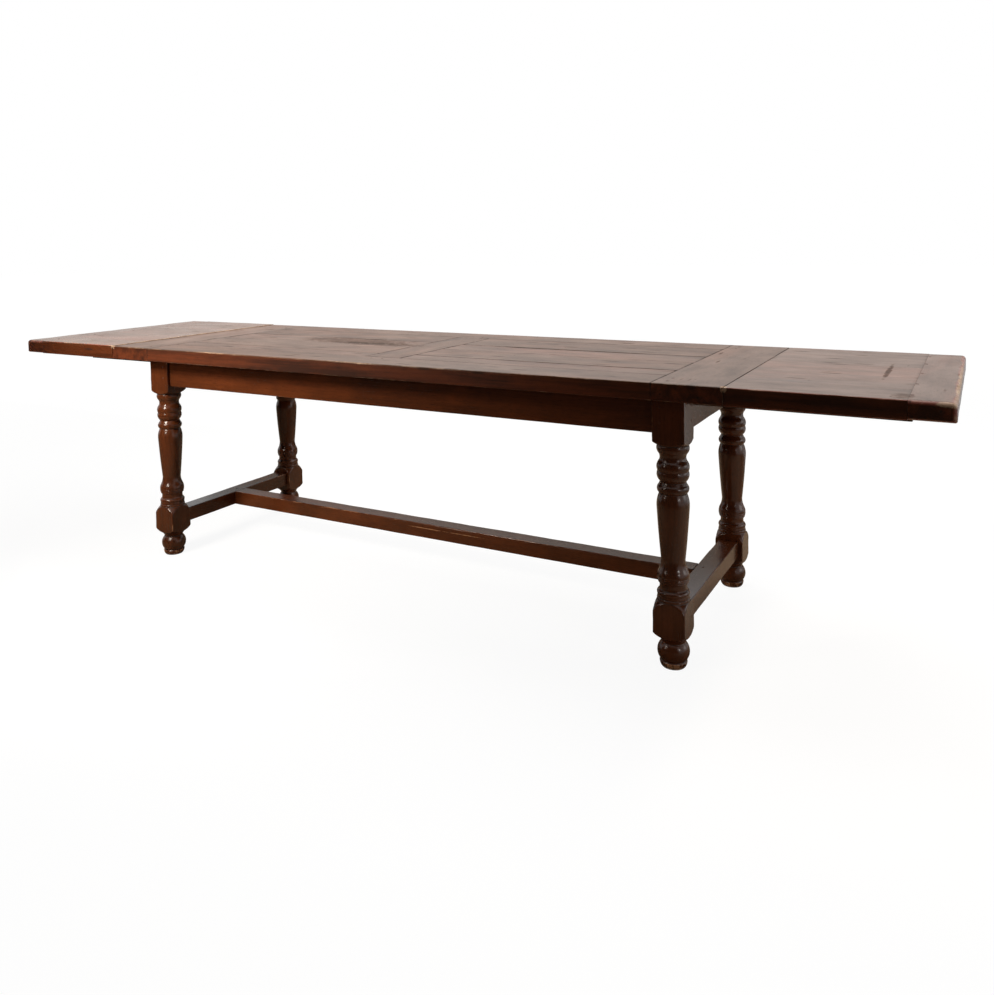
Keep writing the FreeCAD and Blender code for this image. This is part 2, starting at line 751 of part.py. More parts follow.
def leaf_arm(side, face):
    """Arm under a leaf: full depth under the leaf, planed down to slide under the top."""
    ys = signed(face, arm_y_in, arm_y_out)
    arm = block(signed(side, arm_in, arm_out), ys, (arm_low, underside))
    relief = block(signed(side, arm_in, leaf_in), ys, (underside - ARM_TOP_CLEAR, underside))
    return cut_all(arm, [relief] + arm_screws(side, SCREW_FIT))


def build():
    """Make every piece and write it under its own name."""
    os.makedirs("parts", exist_ok=True)
    apron_peg_set = []
    stretcher_peg_set = [centre_stretcher_peg(side) for side in SIDES]
    button_set = []
    for face in FACES:
        save(FACE_NAMES[face] + "_apron", long_apron(face))
        save("top_" + FACE_NAMES[face] + "_rail", top_side_rail(face))
        button_set.extend(top_button(place, face) for place in button_places)
        for side in SIDES:
            save(FACE_NAMES[face] + "_" + SIDE_NAMES[side] + "_leg", leg(side, face))
            apron_peg_set.extend(apron_pegs(side, face))
            stretcher_peg_set.append(leg_stretcher_peg(side, face))
    save("centre_stretcher", centre_stretcher())
    save("top_centre_rail", top_centre_rail())
    save("apron_pegs", Part.makeCompound(apron_peg_set))
    save("stretcher_pegs", Part.makeCompound(stretcher_peg_set))
    save("top_pegs", Part.makeCompound(top_pegs()))
    save("top_buttons", Part.makeCompound(button_set))
    save("button_screws", Part.makeCompound(button_screws()))
    for side, widths in ((LEFT, LEFT_PLANKS), (RIGHT, RIGHT_PLANKS)):
        name = SIDE_NAMES[side]
        save(name + "_end_apron", end_apron(side))
        save(name + "_end_stretcher", end_stretcher(side))
        save(name + "_arm_guide", arm_guide(side))
        save("top_" + name + "_end_rail", top_end_rail(side))
        for number, (low, high) in enumerate(lines(-panel_y, widths, panel_y), 1):
            save("top_" + name + "_plank_" + str(number), top_plank(side, low, high))
        for number, (low, high) in enumerate(leaf_lines(), 1):
            save(name + "_leaf_board_" + str(number), leaf_board(side, low, high))
        save(name + "_leaf_clamp", leaf_clamp(side))
        save(name + "_leaf_clamp_pegs", Part.makeCompound(clamp_pegs(side)))
        save(name + "_leaf_arm_screws", Part.makeCompound(arm_screws(side)))
        for face in FACES:
            save(name + "_leaf_" + FACE_NAMES[face] + "_arm", leaf_arm(side, face))


build()
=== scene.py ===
import json
import math

import bpy
import numpy as np
from mathutils import Matrix, Vector

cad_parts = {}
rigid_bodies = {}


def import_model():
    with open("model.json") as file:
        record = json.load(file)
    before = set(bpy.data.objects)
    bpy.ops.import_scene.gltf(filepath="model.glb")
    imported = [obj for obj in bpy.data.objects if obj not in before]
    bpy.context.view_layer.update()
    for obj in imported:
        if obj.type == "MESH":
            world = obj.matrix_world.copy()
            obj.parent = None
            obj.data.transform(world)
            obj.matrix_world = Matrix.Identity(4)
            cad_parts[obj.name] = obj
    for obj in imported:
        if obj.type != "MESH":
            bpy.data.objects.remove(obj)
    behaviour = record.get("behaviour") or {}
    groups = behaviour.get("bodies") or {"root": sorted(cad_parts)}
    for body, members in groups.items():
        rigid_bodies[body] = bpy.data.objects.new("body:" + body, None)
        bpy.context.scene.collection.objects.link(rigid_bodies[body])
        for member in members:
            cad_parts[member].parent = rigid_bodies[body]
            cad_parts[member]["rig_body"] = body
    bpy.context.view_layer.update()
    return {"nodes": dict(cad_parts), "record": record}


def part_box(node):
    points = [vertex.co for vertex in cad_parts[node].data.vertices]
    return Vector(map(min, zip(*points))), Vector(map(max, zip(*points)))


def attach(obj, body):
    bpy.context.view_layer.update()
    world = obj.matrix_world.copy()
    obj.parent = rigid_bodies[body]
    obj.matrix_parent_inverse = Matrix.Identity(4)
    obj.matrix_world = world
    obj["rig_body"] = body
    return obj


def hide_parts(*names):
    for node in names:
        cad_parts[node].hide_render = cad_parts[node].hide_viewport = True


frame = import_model()
slot_of = {part["node"]: part["material_slot"] for part in frame["record"]["subparts"]}

# Metres. X runs along the table, Y from front to back, Z up. Boards and legs stand where the frame has them.
MM = 0.001
TURN = 2 * math.pi
AXES = "xyz"
SIDES = (("left", -1), ("right", 1))

# Joints and arrises of the boards
JOINT_GAP = 0.3 * MM
JOINT_ARRIS = 0.7 * MM
EDGE_ARRIS = 3.4 * MM
CLAMP_ARRIS = 11.0 * MM
SHELTERED_ARRIS = 0.9 * MM
TIGHT_JOINT = 0.4
PLANK_DROPS = (0.99 * MM, 0.0, 1.53 * MM, 0.0)
LEFT_DROP_SHARE = 0.5
DROP_LENGTH = 0.7
STRETCHER_ARRIS = 3.0 * MM
UNDER_SHARE = 0.6
LEAST_ARRIS = 0.3 * MM
WEAR_SWING = 0.45
WEAR_LENGTH = 0.26
NICK_SPACING = 0.16
NICK_WIDTH = 14 * MM
TOP_NICKS = 1.4 * MM
STRETCHER_NICKS = 1.2 * MM
SETTLE = 0.45 * MM
SETTLE_LENGTH = 0.55
SURFACE_DROP = 0.15 * MM
INTO_LEG = 4 * MM
SEAM_REACH = 0.05
SIDE_SEAM = 3.5 * MM
OPEN_SEAM = 1.6 * SIDE_SEAM
# Depth below the top face over which the edge faces take the painted warm light
WARM_LIT_EDGE_DEPTH = 5 * MM

# Seed of each group of pieces. Its left pieces stand a step below the seed and its right pieces a step above.
TOP_RAIL_SEED = 11
END_RAIL_SEED = 15
PLANK_SEED = 30
CLAMP_SEED = 45
LEAF_SEED = 60
APRON_SEED = 80
END_APRON_SEED = 83
GUIDE_SEED = 86
END_STRETCHER_SEED = 89
CENTRE_STRETCHER_SEED = 92
ARM_SEED = 101
LEG_SEED = 110
PEG_SEED = 120
BOARD_SEED_STEP = 6
ARM_SEED_STEP = 2

# Offsets that give each wave of a board a seed of its own
NICK_SEED = 7
SETTLE_SEED = 20
DROP_SEED = 30

# Fineness of the board grids
PITCH = 9 * MM
FINE_PITCH = 6 * MM
CORNER_STEPS = 7
END_STEPS = 6
SUPPORT = 1.2 * MM
STEP_WIDTH = 0.02 * MM
RIPPLE_WAVES = 4
RIPPLE_STEP = 1.87

# The tree that each board was sawn from
HEART_DEPTH = (0.04, 0.15)
HEART_SHIFT = 0.3
LOG_SPACING = 7.3
END_GRAIN_TINT = 2.0
LEFT_LEAF_TINT = -3.0
RIGHT_LEAF_TINT = 0.5
LEFT_RAIL_TINT = -2.0

# Arms under the leaves and the notches that they slide in
ARM_SIDE_CLEAR = 1.0 * MM
ARM_SEAT_CLEAR = 0.3 * MM
ARM_TOP_CLEAR = 0.6 * MM

# Legs in millimetres from the floor up: height of a turning, cut below the block's face at half height,
# cut there at the end. None at half height is a straight.
FOOT_START_CUT = 13.0
FOOT_TURNINGS = (
    (16.0, 8.4, 7.0),
    (3.0, None, 10.5),
    (49.0, 1.0, 12.1),
    (16.0, 8.0, 0.5),
)
BALUSTER_START_CUT = 0.5
BALUSTER_TURNINGS = (
    (6.0, None, 0.5),
    (1.5, None, 3.0),
    (7.5, 1.6, 2.6),
    (14.0, 0.7, 6.3),
    (18.0, 7.7, 6.3),
    (5.5, 3.3, 4.6),
    (5.0, 1.9, 3.2),
    (5.0, 1.1, 2.4),
    (2.0, None, 1.3),
    (16.5, 2.4, 5.7),
    (28.0, 10.4, 11.6),
    (140.0, 5.3, 0.6),
    (37.0, 1.6, 7.3),
    (22.0, 1.5, 5.5),
    (8.0, None, 9.5),
    (7.0, None, 4.5),
    (22.0, 1.0, 2.9),
    (26.0, 0.7, 6.0),
    (23.0, 8.9, 4.0),
    (21.0, 0.5, 2.5),
)
OGEE_SHOULDER = 17.0
LOWER_BLOCK = 48.0
LOWER_SHOULDER = 31.0
UPPER_SHOULDER = 14.0
UPPER_BLOCK = 117.0
SHOULDER_BULGE = 3.0
CORNER_CLEAR = 1.0
LEG_PITCH = 1.5
BLOCK_ARRIS = 2.6
LEG_DROP = 0.2
EDGE_BLEND = 0.9
FLAT_COLUMNS = 16
CORNER_COLUMNS = 7
CORNER_SPREAD = math.radians(4.5)
CREASE_BLUR = 4.0
CREASE_REACH = 3
CREASE_STEP = 0.5
CREASE_DEPTH = 1.6
ARRIS_WAVE = 60.0
TURNING_WAVE = 90.0
CORNER_RUB = math.radians(2.5)
FOOT_RUB = 1.7
FOOT_RUB_HEIGHT = 17.0
CROWN_RUB = 0.35

# Pegs: radius share and depth below the tip, from the middle of the tip outward
PEG_OUTLINE = ((0.3, 0.0), (0.65, 0.04), (0.88, 0.14), (0.97, 0.35), (1.0, 0.7), (1.0, 6.0))
PEG_COLUMNS = 18
PEG_FLATS = 5
PEG_FLAT_DEPTH = 0.03
PEG_RIM_SEAM = 1.5 * SIDE_SEAM
PEG_RIM_POWER = 6


# Waves, meshes and fitting

def ripple(places, seed, wavelength):
    """Seeded wave from -1 to 1: a sum of sines, each RIPPLE_STEP times shorter and lower than the last."""
    steps = RIPPLE_STEP ** np.arange(RIPPLE_WAVES)
    phases = np.random.default_rng(seed).uniform(0, TURN, RIPPLE_WAVES)
    waves = np.sin(TURN * steps * np.asarray(places)[..., None] / wavelength + phases)
    return (waves / steps).sum(-1) / (1 / steps).sum()


def bites(places, seed, depth):
    """Seeded nicks along an edge: a sum of Gaussian dips with their own places, depths and widths."""
    dice = np.random.default_rng(seed)
    count = max(1, int(np.ptp(places) / NICK_SPACING))
    centres = dice.uniform(places.min(), places.max(), count)
    depths = depth * dice.uniform(0.15, 1, count) ** 2
    widths = NICK_WIDTH * dice.uniform(0.3, 1, count)
    return (depths * np.exp(-(((places[:, None] - centres) / widths) ** 2))).sum(1)


def grid_faces(rows, columns, first, flip):
    """Quads between neighbouring rows of a grid that closes round each row, and caps on its end rows."""
    index = first + np.arange(rows * columns).reshape(rows, columns)
    after = np.roll(index, -1, axis=1)
    quads = np.stack([index[:-1], after[:-1], after[1:], index[1:]], axis=-1).reshape(-1, 4)
    faces = quads.tolist() + [index[0][::-1].tolist(), index[-1].tolist()]
    return [face[::-1] for face in faces] if flip else faces


def make_piece(name, grids, traits, flip=False):
    """Smooth mesh of one or more closed grids of points, with the traits of each point as attributes."""
    faces = []
    first = 0
    for grid in grids:
        rows, columns = grid.shape[:2]
        faces += grid_faces(rows, columns, first, flip)
        first += rows * columns
    mesh = bpy.data.meshes.new(name)
    mesh.from_pydata(np.concatenate([grid.reshape(-1, 3) for grid in grids]), [], faces)
    mesh.polygons.foreach_set("use_smooth", np.ones(len(faces), bool))
    for trait, values in traits.items():
        kind, field = ("FLOAT_VECTOR", "vector") if values.shape[-1] == 3 else ("FLOAT", "value")
        mesh.attributes.new(trait, kind, "POINT").data.foreach_set(field, values.ravel().astype(np.float32))
    mesh.update()
    piece = bpy.data.objects.new(name, mesh)
    bpy.context.scene.collection.objects.link(piece)
    return piece


def fit(piece, node):
    """Puts a piece in the place of its node: on the same body, in the same slot, in that slot's finish."""
    piece.data.materials.append(finishes[slot_of[node]])
    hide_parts(node)
    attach(piece, frame["nodes"][node]["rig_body"])


def corners(node):
    """Lowest and highest corner of a node as arrays."""
    low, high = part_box(node)
    return np.array(low), np.array(high)


# Boards

def stations(start, stop, rounds, pitch, steps):
    """Places along a board and how far its section is drawn in there.

    Each end is a quarter circle that starts with a ring inside its flat face, and even steps lie between the
    ends. The place of a notch's step comes twice, just before and after it.
    """
    swing = np.linspace(0, TURN / 4, END_STEPS)
    count = max(2, math.ceil((stop - start) / pitch))
    inner = np.linspace(start + rounds[0], stop - rounds[1], count)[1:-1]
    edges = [place + side * STEP_WIDTH for place in steps for side in (-1, 1)]
    inner = np.sort(np.concatenate([inner, edges]))
    lead = start + rounds[0] * (1 - np.cos(swing))
    tail = stop - rounds[1] * (1 - np.cos(swing[::-1]))
    places = np.concatenate([[start], lead, inner, tail, [stop]])
    inset = np.zeros(len(places))
    inset[:END_STEPS + 1] = np.append(rounds[0] + SUPPORT, rounds[0] * (1 - np.sin(swing)))
    inset[-END_STEPS - 1:] = np.append(rounds[1] * (1 - np.sin(swing[::-1])), rounds[1] + SUPPORT)
    return places, inset


def flat_shares(width, pitch):
    """Even shares of a flat face from edge to edge, starting and ending close to the rounded arrises."""
    count = max(2, math.ceil(width / pitch))
    edge = SUPPORT / width
    return np.linspace(edge, 1 - edge, count)


def rounded_section(across, through, radii, shares):
    """Rounded rectangles, one for each station: four quarter circles joined by straights, anticlockwise.

    across and through hold the low and high edge at each station, and radii the four corners there.
    """
    swing = np.linspace(0, TURN / 4, CORNER_STEPS)
    arcs = []
    for corner, (side, face) in enumerate(((1, 1), (0, 1), (0, 0), (1, 0))):
        radius = radii[:, corner:corner + 1]
        middle_across = across[side][:, None] - (2 * side - 1) * radius
        middle_through = through[face][:, None] - (2 * face - 1) * radius
        angle = corner * TURN / 4 + swing
        arc = (middle_across + radius * np.cos(angle), middle_through + radius * np.sin(angle))
        arcs.append(np.stack(arc, -1))
    outline = []
    for corner in range(4):
        here = arcs[corner][:, -1:]
        after = arcs[(corner + 1) % 4][:, :1]
        share = shares[corner % 2][None, :, None]
        outline += [arcs[corner], here + share * (after - here)]
    return np.concatenate(outline, axis=1)


def arris_wear(rubbed_corners, shares):
    """Wear across a section: none on the flats, and a half sine over each rubbed corner."""
    hump = np.sin(np.linspace(0, TURN / 2, CORNER_STEPS))
    wear = []
    for corner in range(4):
        wear += [hump * rubbed_corners[corner], np.zeros(len(shares[corner % 2]))]
    return np.concatenate(wear)


def end_wear(count, rubbed_ends):
    """Wear along a board: none on its length, and a half sine over the arris of each rubbed end."""
    hump = np.sin(np.linspace(0, TURN / 2, END_STEPS))
    wear = np.zeros(count)
    wear[1:END_STEPS + 1] = hump * rubbed_ends[0]
    wear[-END_STEPS - 1:-1] = hump * rubbed_ends[1]
    return wear


def corner_radii(places, inset, arrises, nicked, nicks, seed):
    """Radii of a section's four corners at each station: arrises that swing along the board, less the inset.

    The nicked corners also have seeded bites.
    """
    radii = np.stack([
        arris * (1 + WEAR_SWING * ripple(places, seed + corner, WEAR_LENGTH))
        for corner, arris in enumerate(arrises)
    ], axis=1)
    for corner in nicked:
        radii[:, corner] += bites(places, seed + NICK_SEED + corner, nicks)
    return np.maximum(radii - inset[:, None], LEAST_ARRIS)


def board(name, low, high, axes, open_sides, seed, edge=EDGE_ARRIS, pitch=PITCH, notches=(), nicks=0.0,
          sheltered=(), tint=None, joint=1.0, drop=0.0):
    """A worn board: a rounded section carried along its grain, its arrises and top eased by seeded waves.

    axes names the length, width and thickness directions. open_sides are the sides that touch no other
    board, and those of them that nothing rubs are sheltered. A notch is (start, stop, depth) along the board,
    cut into its upper face. tint darkens the stain, which end grain takes up more of. joint is the share of
    the usual gap and arris at the joints, and drop the most that the upper face dips below its neighbours.
    """
    along, wide, thick = (AXES.index(axis) for axis in axes)
    dice = np.random.default_rng(seed)
    low = np.array(low, float)
    high = np.array(high, float)
    ends = [(axis, end) for axis in (along, wide) for end in (0, 1)]
    side_of = {(axis, end): "-+"[end] + AXES[axis] for axis, end in ends}
    is_open = {key: side_of[key] in open_sides for key in ends}
    is_rubbed = {key: is_open[key] and side_of[key] not in sheltered for key in ends}
    for axis in (along, wide):
        low[axis] += 0 if is_open[axis, 0] else joint * JOINT_GAP / 2
        high[axis] -= 0 if is_open[axis, 1] else joint * JOINT_GAP / 2
    high[thick] -= SURFACE_DROP
    arris_of = {
        key: edge if is_rubbed[key] else SHELTERED_ARRIS if is_open[key] else joint * JOINT_ARRIS
        for key in ends
    }
    rounds = [arris_of[along, end] for end in (0, 1)]
    steps = [place for cut in notches for place in cut[:2]]
    places, inset = stations(low[along], high[along], rounds, pitch, steps)

    top = high[thick] - drop * (0.5 + 0.5 * ripple(places, seed + DROP_SEED, DROP_LENGTH))
    for start, stop, depth in notches:
        top[(places > start) & (places < stop)] -= depth
    corner_ends = (1, 0, 0, 1)
    corner_shares = (1, 1, UNDER_SHARE, UNDER_SHARE)
    arrises = [
        arris_of[wide, end] * (share if is_open[wide, end] else 1)
        for end, share in zip(corner_ends, corner_shares)
    ]
    nicked = [corner for corner in (0, 1) if nicks and is_open[wide, corner_ends[corner]]]
    radii = corner_radii(places, inset, arrises, nicked, nicks, seed)

    shares = [flat_shares(high[axis] - low[axis], pitch) for axis in (wide, thick)]
    draws = [arris_of[wide, end] / edge for end in (0, 1)]
    across = (low[wide] + draws[0] * inset, high[wide] - draws[1] * inset)
    through = (low[thick] + UNDER_SHARE * inset, top - inset)
    outline = rounded_section(across, through, radii, shares)
    grid = np.empty(outline.shape[:2] + (3,))
    grid[..., along] = places[:, None]
    grid[..., wide] = outline[..., 0]
    grid[..., thick] = outline[..., 1]

    height = np.clip((grid[..., thick] - low[thick]) / (high[thick] - low[thick]), 0, 1)
    sink = ripple(grid[..., along], seed + SETTLE_SEED, SETTLE_LENGTH)
    sink += ripple(grid[..., wide], seed + SETTLE_SEED + 1, SETTLE_LENGTH)
    grid[..., thick] -= SETTLE * height * (0.5 + 0.25 * sink)

    middle = (low + high) / 2
    log = np.empty_like(grid)
    log[..., 0] = grid[..., along] + LOG_SPACING * seed
    heart_shift = dice.uniform(-HEART_SHIFT, HEART_SHIFT) * (high - low)[wide]
    log[..., 1] = grid[..., wide] - middle[wide] + heart_shift
    log[..., 2] = grid[..., thick] - middle[thick] + dice.uniform(*HEART_DEPTH)
    seam = np.full(grid.shape[:2], SEAM_REACH)
    for (axis, end), rubbed in is_rubbed.items():
        if not rubbed:
            seam = np.minimum(seam, np.abs(grid[..., axis] - (low, high)[end][axis]) / joint)
    seam += SIDE_SEAM * (1 - height)
    across_wear = arris_wear([is_rubbed[wide, end] for end in corner_ends], shares)
    along_wear = end_wear(len(places), [is_rubbed[along, end] for end in (0, 1)])
    worn = np.maximum(across_wear[None, :], along_wear[:, None])
    tints = np.full(grid.shape[:2], dice.uniform(-1, 1) if tint is None else tint)
    tints[:END_STEPS + 1] += END_GRAIN_TINT
    tints[-END_STEPS - 1:] += END_GRAIN_TINT
    # Mask of the faces below the top face, where a redder stain paints the warm front light.
    edge_face = np.clip((high[thick] - grid[..., thick]) / WARM_LIT_EDGE_DEPTH, 0, 1)
    traits = {
        "log": log,
        "seam": seam[..., None],
        "worn": worn[..., None],
        "tint": tints[..., None],
        "edge_face": edge_face[..., None],
    }
    flip = np.linalg.det(np.eye(3)[[along, wide, thick]]) < 0
    return make_piece(name, [grid], traits, flip)


def lay_board(node, low, high, axes, open_sides, seed, **options):
    """Makes the worn board of a node and fits it."""
    fit(board(node + "_worn", low, high, axes, open_sides, seed, **options), node)


# Legs

def arc_reach(rise, height, start, crown, end):
    """Radius up a bead or hollow: the circle through its start, its crown at half height and its end."""
    chords = np.array([[2 * (crown - start), height], [2 * (end - start), 2 * height]])
    squares = np.array([crown ** 2 + height ** 2 / 4 - start ** 2, end ** 2 + height ** 2 - start ** 2])
    middle, level = np.linalg.solve(chords, squares)
    size = math.hypot(start - middle, level)
    return middle + math.copysign(1, crown - middle) * np.sqrt(np.maximum(size ** 2 - (rise - level) ** 2, 0))


def leg_turnings(half):
    """Rows of height, crown radius or None, and end radius, from the floor to the top of the upper block."""
    corner = half * math.sqrt(2) + CORNER_CLEAR
    foot = [(height, crown and half - crown, half - end) for height, crown, end in FOOT_TURNINGS]
    baluster = [(height, crown and half - crown, half - end) for height, crown, end in BALUSTER_TURNINGS]
    start = half - BALUSTER_START_CUT
    return [
        *foot,
        (OGEE_SHOULDER, (foot[-1][2] + corner) / 2 + SHOULDER_BULGE, corner),
        (LOWER_BLOCK, None, corner),
        (LOWER_SHOULDER, (corner + start) / 2 + SHOULDER_BULGE, start),
        *baluster,
        (UPPER_SHOULDER, (baluster[-1][2] + corner) / 2 + SHOULDER_BULGE, corner),
        (UPPER_BLOCK, None, corner),
    ]


def turned_outline(half):
    """Heights and radii up the leg, a few to each turning."""
    heights = [np.zeros(1)]
    radii = [np.array([half - FOOT_START_CUT])]
    for height, crown, end in leg_turnings(half):
        rise = np.linspace(0, height, max(2, math.ceil(height / LEG_PITCH)) + 1)[1:]
        start = radii[-1][-1]
        if crown is None:
            reach = start + (end - start) * rise / height
        else:
            reach = arc_reach(rise, height, start, crown, end)
        heights.append(heights[-1][-1] + rise)
        radii.append(reach)
    return np.concatenate(heights), np.concatenate(radii)


def crease_depth(heights, radii):
    """How far each height lies in a hollow: a blurred outline less the outline, negative on a crown."""
    even = np.arange(0, heights[-1], CREASE_STEP)
    outline = np.interp(even, heights, radii)
    span = CREASE_REACH * CREASE_BLUR
    reach = np.arange(-span, span, CREASE_STEP)
    weight = np.exp(-((reach / CREASE_BLUR) ** 2))
    padded = np.pad(outline, len(reach), mode="edge")
    blurred = np.convolve(padded, weight / weight.sum(), "same")[len(reach):-len(reach)]
    return np.interp(heights, even, blurred - outline)


def face_lean(angles):
    """Angle between each direction and the middle of the nearest face of a square post."""
    return np.abs((angles + TURN / 8) % (TURN / 4) - TURN / 8)


def post_reach(angles, half, arris):
    """Distance from a square post's axis to its surface in each direction, with rounded corners."""
    lean = face_lean(angles)
    middle = half - arris
    toward = middle * (np.cos(lean) + np.sin(lean))
    corner = toward + np.sqrt(np.maximum(toward ** 2 - 2 * middle ** 2 + arris ** 2, 0))
    return np.where(np.tan(lean) * half > middle, corner, half / np.cos(lean))


def leg_columns():
    """Directions round a leg, close together at the block's four corners."""
    flat = np.linspace(CORNER_SPREAD, TURN / 4 - CORNER_SPREAD, FLAT_COLUMNS)
    corner = np.linspace(-CORNER_SPREAD, CORNER_SPREAD, CORNER_COLUMNS + 2)[1:-1]
    quarter = np.concatenate([corner, flat])
    return np.concatenate([quarter + TURN / 8 + turn * TURN / 4 for turn in range(4)])


def leg(node, seed):
    """A turned leg: in each direction the smaller of the turned radius and the square post, blended there."""
    low, high = corners(node)
    half = (high - low)[0] / 2 / MM
    heights, radii = turned_outline(half)
    angles = leg_columns()
    arris = BLOCK_ARRIS * (1 + WEAR_SWING * ripple(heights, seed, ARRIS_WAVE))
    post = post_reach(angles[None, :], half - LEG_DROP, arris[:, None])
    waver = ripple(heights[:, None] / TURNING_WAVE + angles / TURN, seed + 1, 1)
    turned = radii[:, None] - LEG_DROP * (0.5 + 0.5 * waver)
    share = np.clip(0.5 + 0.5 * (turned - post) / EDGE_BLEND, 0, 1)
    reach = turned + (post - turned) * share - EDGE_BLEND * share * (1 - share)

    middle = (low + high)[:2] / 2
    grid = np.empty(reach.shape + (3,))
    grid[..., 0] = middle[0] + MM * reach * np.cos(angles)
    grid[..., 1] = middle[1] + MM * reach * np.sin(angles)
    grid[..., 2] = MM * heights[:, None]

    dice = np.random.default_rng(seed)
    heart = dice.uniform(-0.5, 0.5, 2) * (high - low)[:2]
    log = np.empty_like(grid)
    log[..., 0] = grid[..., 2] + LOG_SPACING * seed
    log[..., 1:] = grid[..., :2] - middle + heart
    crease = np.clip(crease_depth(heights, radii) / CREASE_DEPTH, -1, 1)[:, None]
    seam = OPEN_SEAM * (1 - np.clip(crease, 0, 1)) * np.ones_like(reach)
    from_corner = TURN / 8 - face_lean(angles)
    corner_wear = np.exp(-((from_corner / CORNER_RUB) ** 2))[None, :] * (share > 0.5)
    foot_wear = FOOT_RUB * (heights < FOOT_RUB_HEIGHT)[:, None]
    worn = np.maximum(np.maximum(corner_wear, foot_wear), CROWN_RUB * np.clip(-crease, 0, 1))
    tint = np.full(reach.shape, dice.uniform(-1, 1))
    traits = {"log": log, "seam": seam[..., None], "worn": worn[..., None], "tint": tint[..., None]}
    fit(make_piece(node + "_turned", [grid], traits), node)


# Pegs

def islands(node):
    """Boxes of a node's separate solids: points that share a triangle share a label until none changes."""
    mesh = frame["nodes"][node].data
    points = np.empty(len(mesh.vertices) * 3)
    mesh.vertices.foreach_get("co", points)
    mesh.calc_loop_triangles()
    triangles = np.empty(len(mesh.loop_triangles) * 3, int)
    mesh.loop_triangles.foreach_get("vertices", triangles)
    places, names = np.unique(points.reshape(-1, 3).round(5), axis=0, return_inverse=True)
    triangles = names.ravel()[triangles].reshape(-1, 3)
    label = np.arange(len(places))
    settled = False
    while not settled:
        spread = label.copy()
        np.minimum.at(spread, triangles, label[triangles].min(1)[:, None])
        settled = bool((spread == label).all())
        label = spread
    return [(places[label == one].min(0), places[label == one].max(0)) for one in np.unique(label)]


def pegs(node, seed):
    """Whittled pegs: a low dome and a short side turned about each peg's axis, with a few knife-cut flats."""
    dice = np.random.default_rng(seed)
    outline = np.array(PEG_OUTLINE)
    angles = np.arange(PEG_COLUMNS) * TURN / PEG_COLUMNS
    grids = []
    for low, high in islands(node):
        size = high - low
        axis = int(np.argmax(size))
        first, second = (axis + 1) % 3, (axis + 2) % 3
        middle = (low + high) / 2
        outward = 1 if axis == 2 else math.copysign(1, middle[axis])
        flats = np.cos(PEG_FLATS * angles + dice.uniform(0, TURN)) ** 2
        radius = size[first] / 2 * (1 - PEG_FLAT_DEPTH * flats)
        tip = high[axis] if outward > 0 else low[axis]
        grid = np.empty((len(outline), PEG_COLUMNS, 3))
        grid[..., first] = middle[first] + outline[:, :1] * radius * np.cos(angles)
        grid[..., second] = middle[second] + outward * outline[:, :1] * radius * np.sin(angles)
        grid[..., axis] = tip - outward * MM * outline[:, 1:]
        grids.append(grid)
    points = np.concatenate([grid.reshape(-1, 3) for grid in grids])
    log = np.stack([points[:, 2] + LOG_SPACING * seed, points[:, 0], points[:, 1]], axis=-1)
    ring = np.tile(np.repeat(outline[:, 0], PEG_COLUMNS), len(grids))
    traits = {
        "log": log,
        "seam": (OPEN_SEAM - PEG_RIM_SEAM * ring ** PEG_RIM_POWER)[:, None],
        "worn": np.zeros((len(points), 1)),
        "tint": np.zeros((len(points), 1)),
    }
    fit(make_piece(node + "_cut", grids, traits, flip=True), node)


# Finishes

class Tone:
    """One output of a finish's node tree. Arithmetic on it adds Math nodes."""

    def __init__(self, finish, socket):
        self.finish = finish
        self.socket = socket

    def math(self, operation, first, second):
        return self.finish.node("ShaderNodeMath", {"operation": operation}, {0: first, 1: second})

    def __add__(self, other):
        return self.math("ADD", self, other)

    def __sub__(self, other):
        return self.math("SUBTRACT", self, other)

    def __rsub__(self, other):
        return self.math("SUBTRACT", other, self)

    def __mul__(self, other):
        return self.math("MULTIPLY", self, other)

    def __truediv__(self, other):
        return self.math("DIVIDE", self, other)

    def __pow__(self, other):
        return self.math("POWER", self, other)

    def __mod__(self, other):
        return self.math("FLOORED_MODULO", self, other)

    __radd__ = __add__
    __rmul__ = __mul__


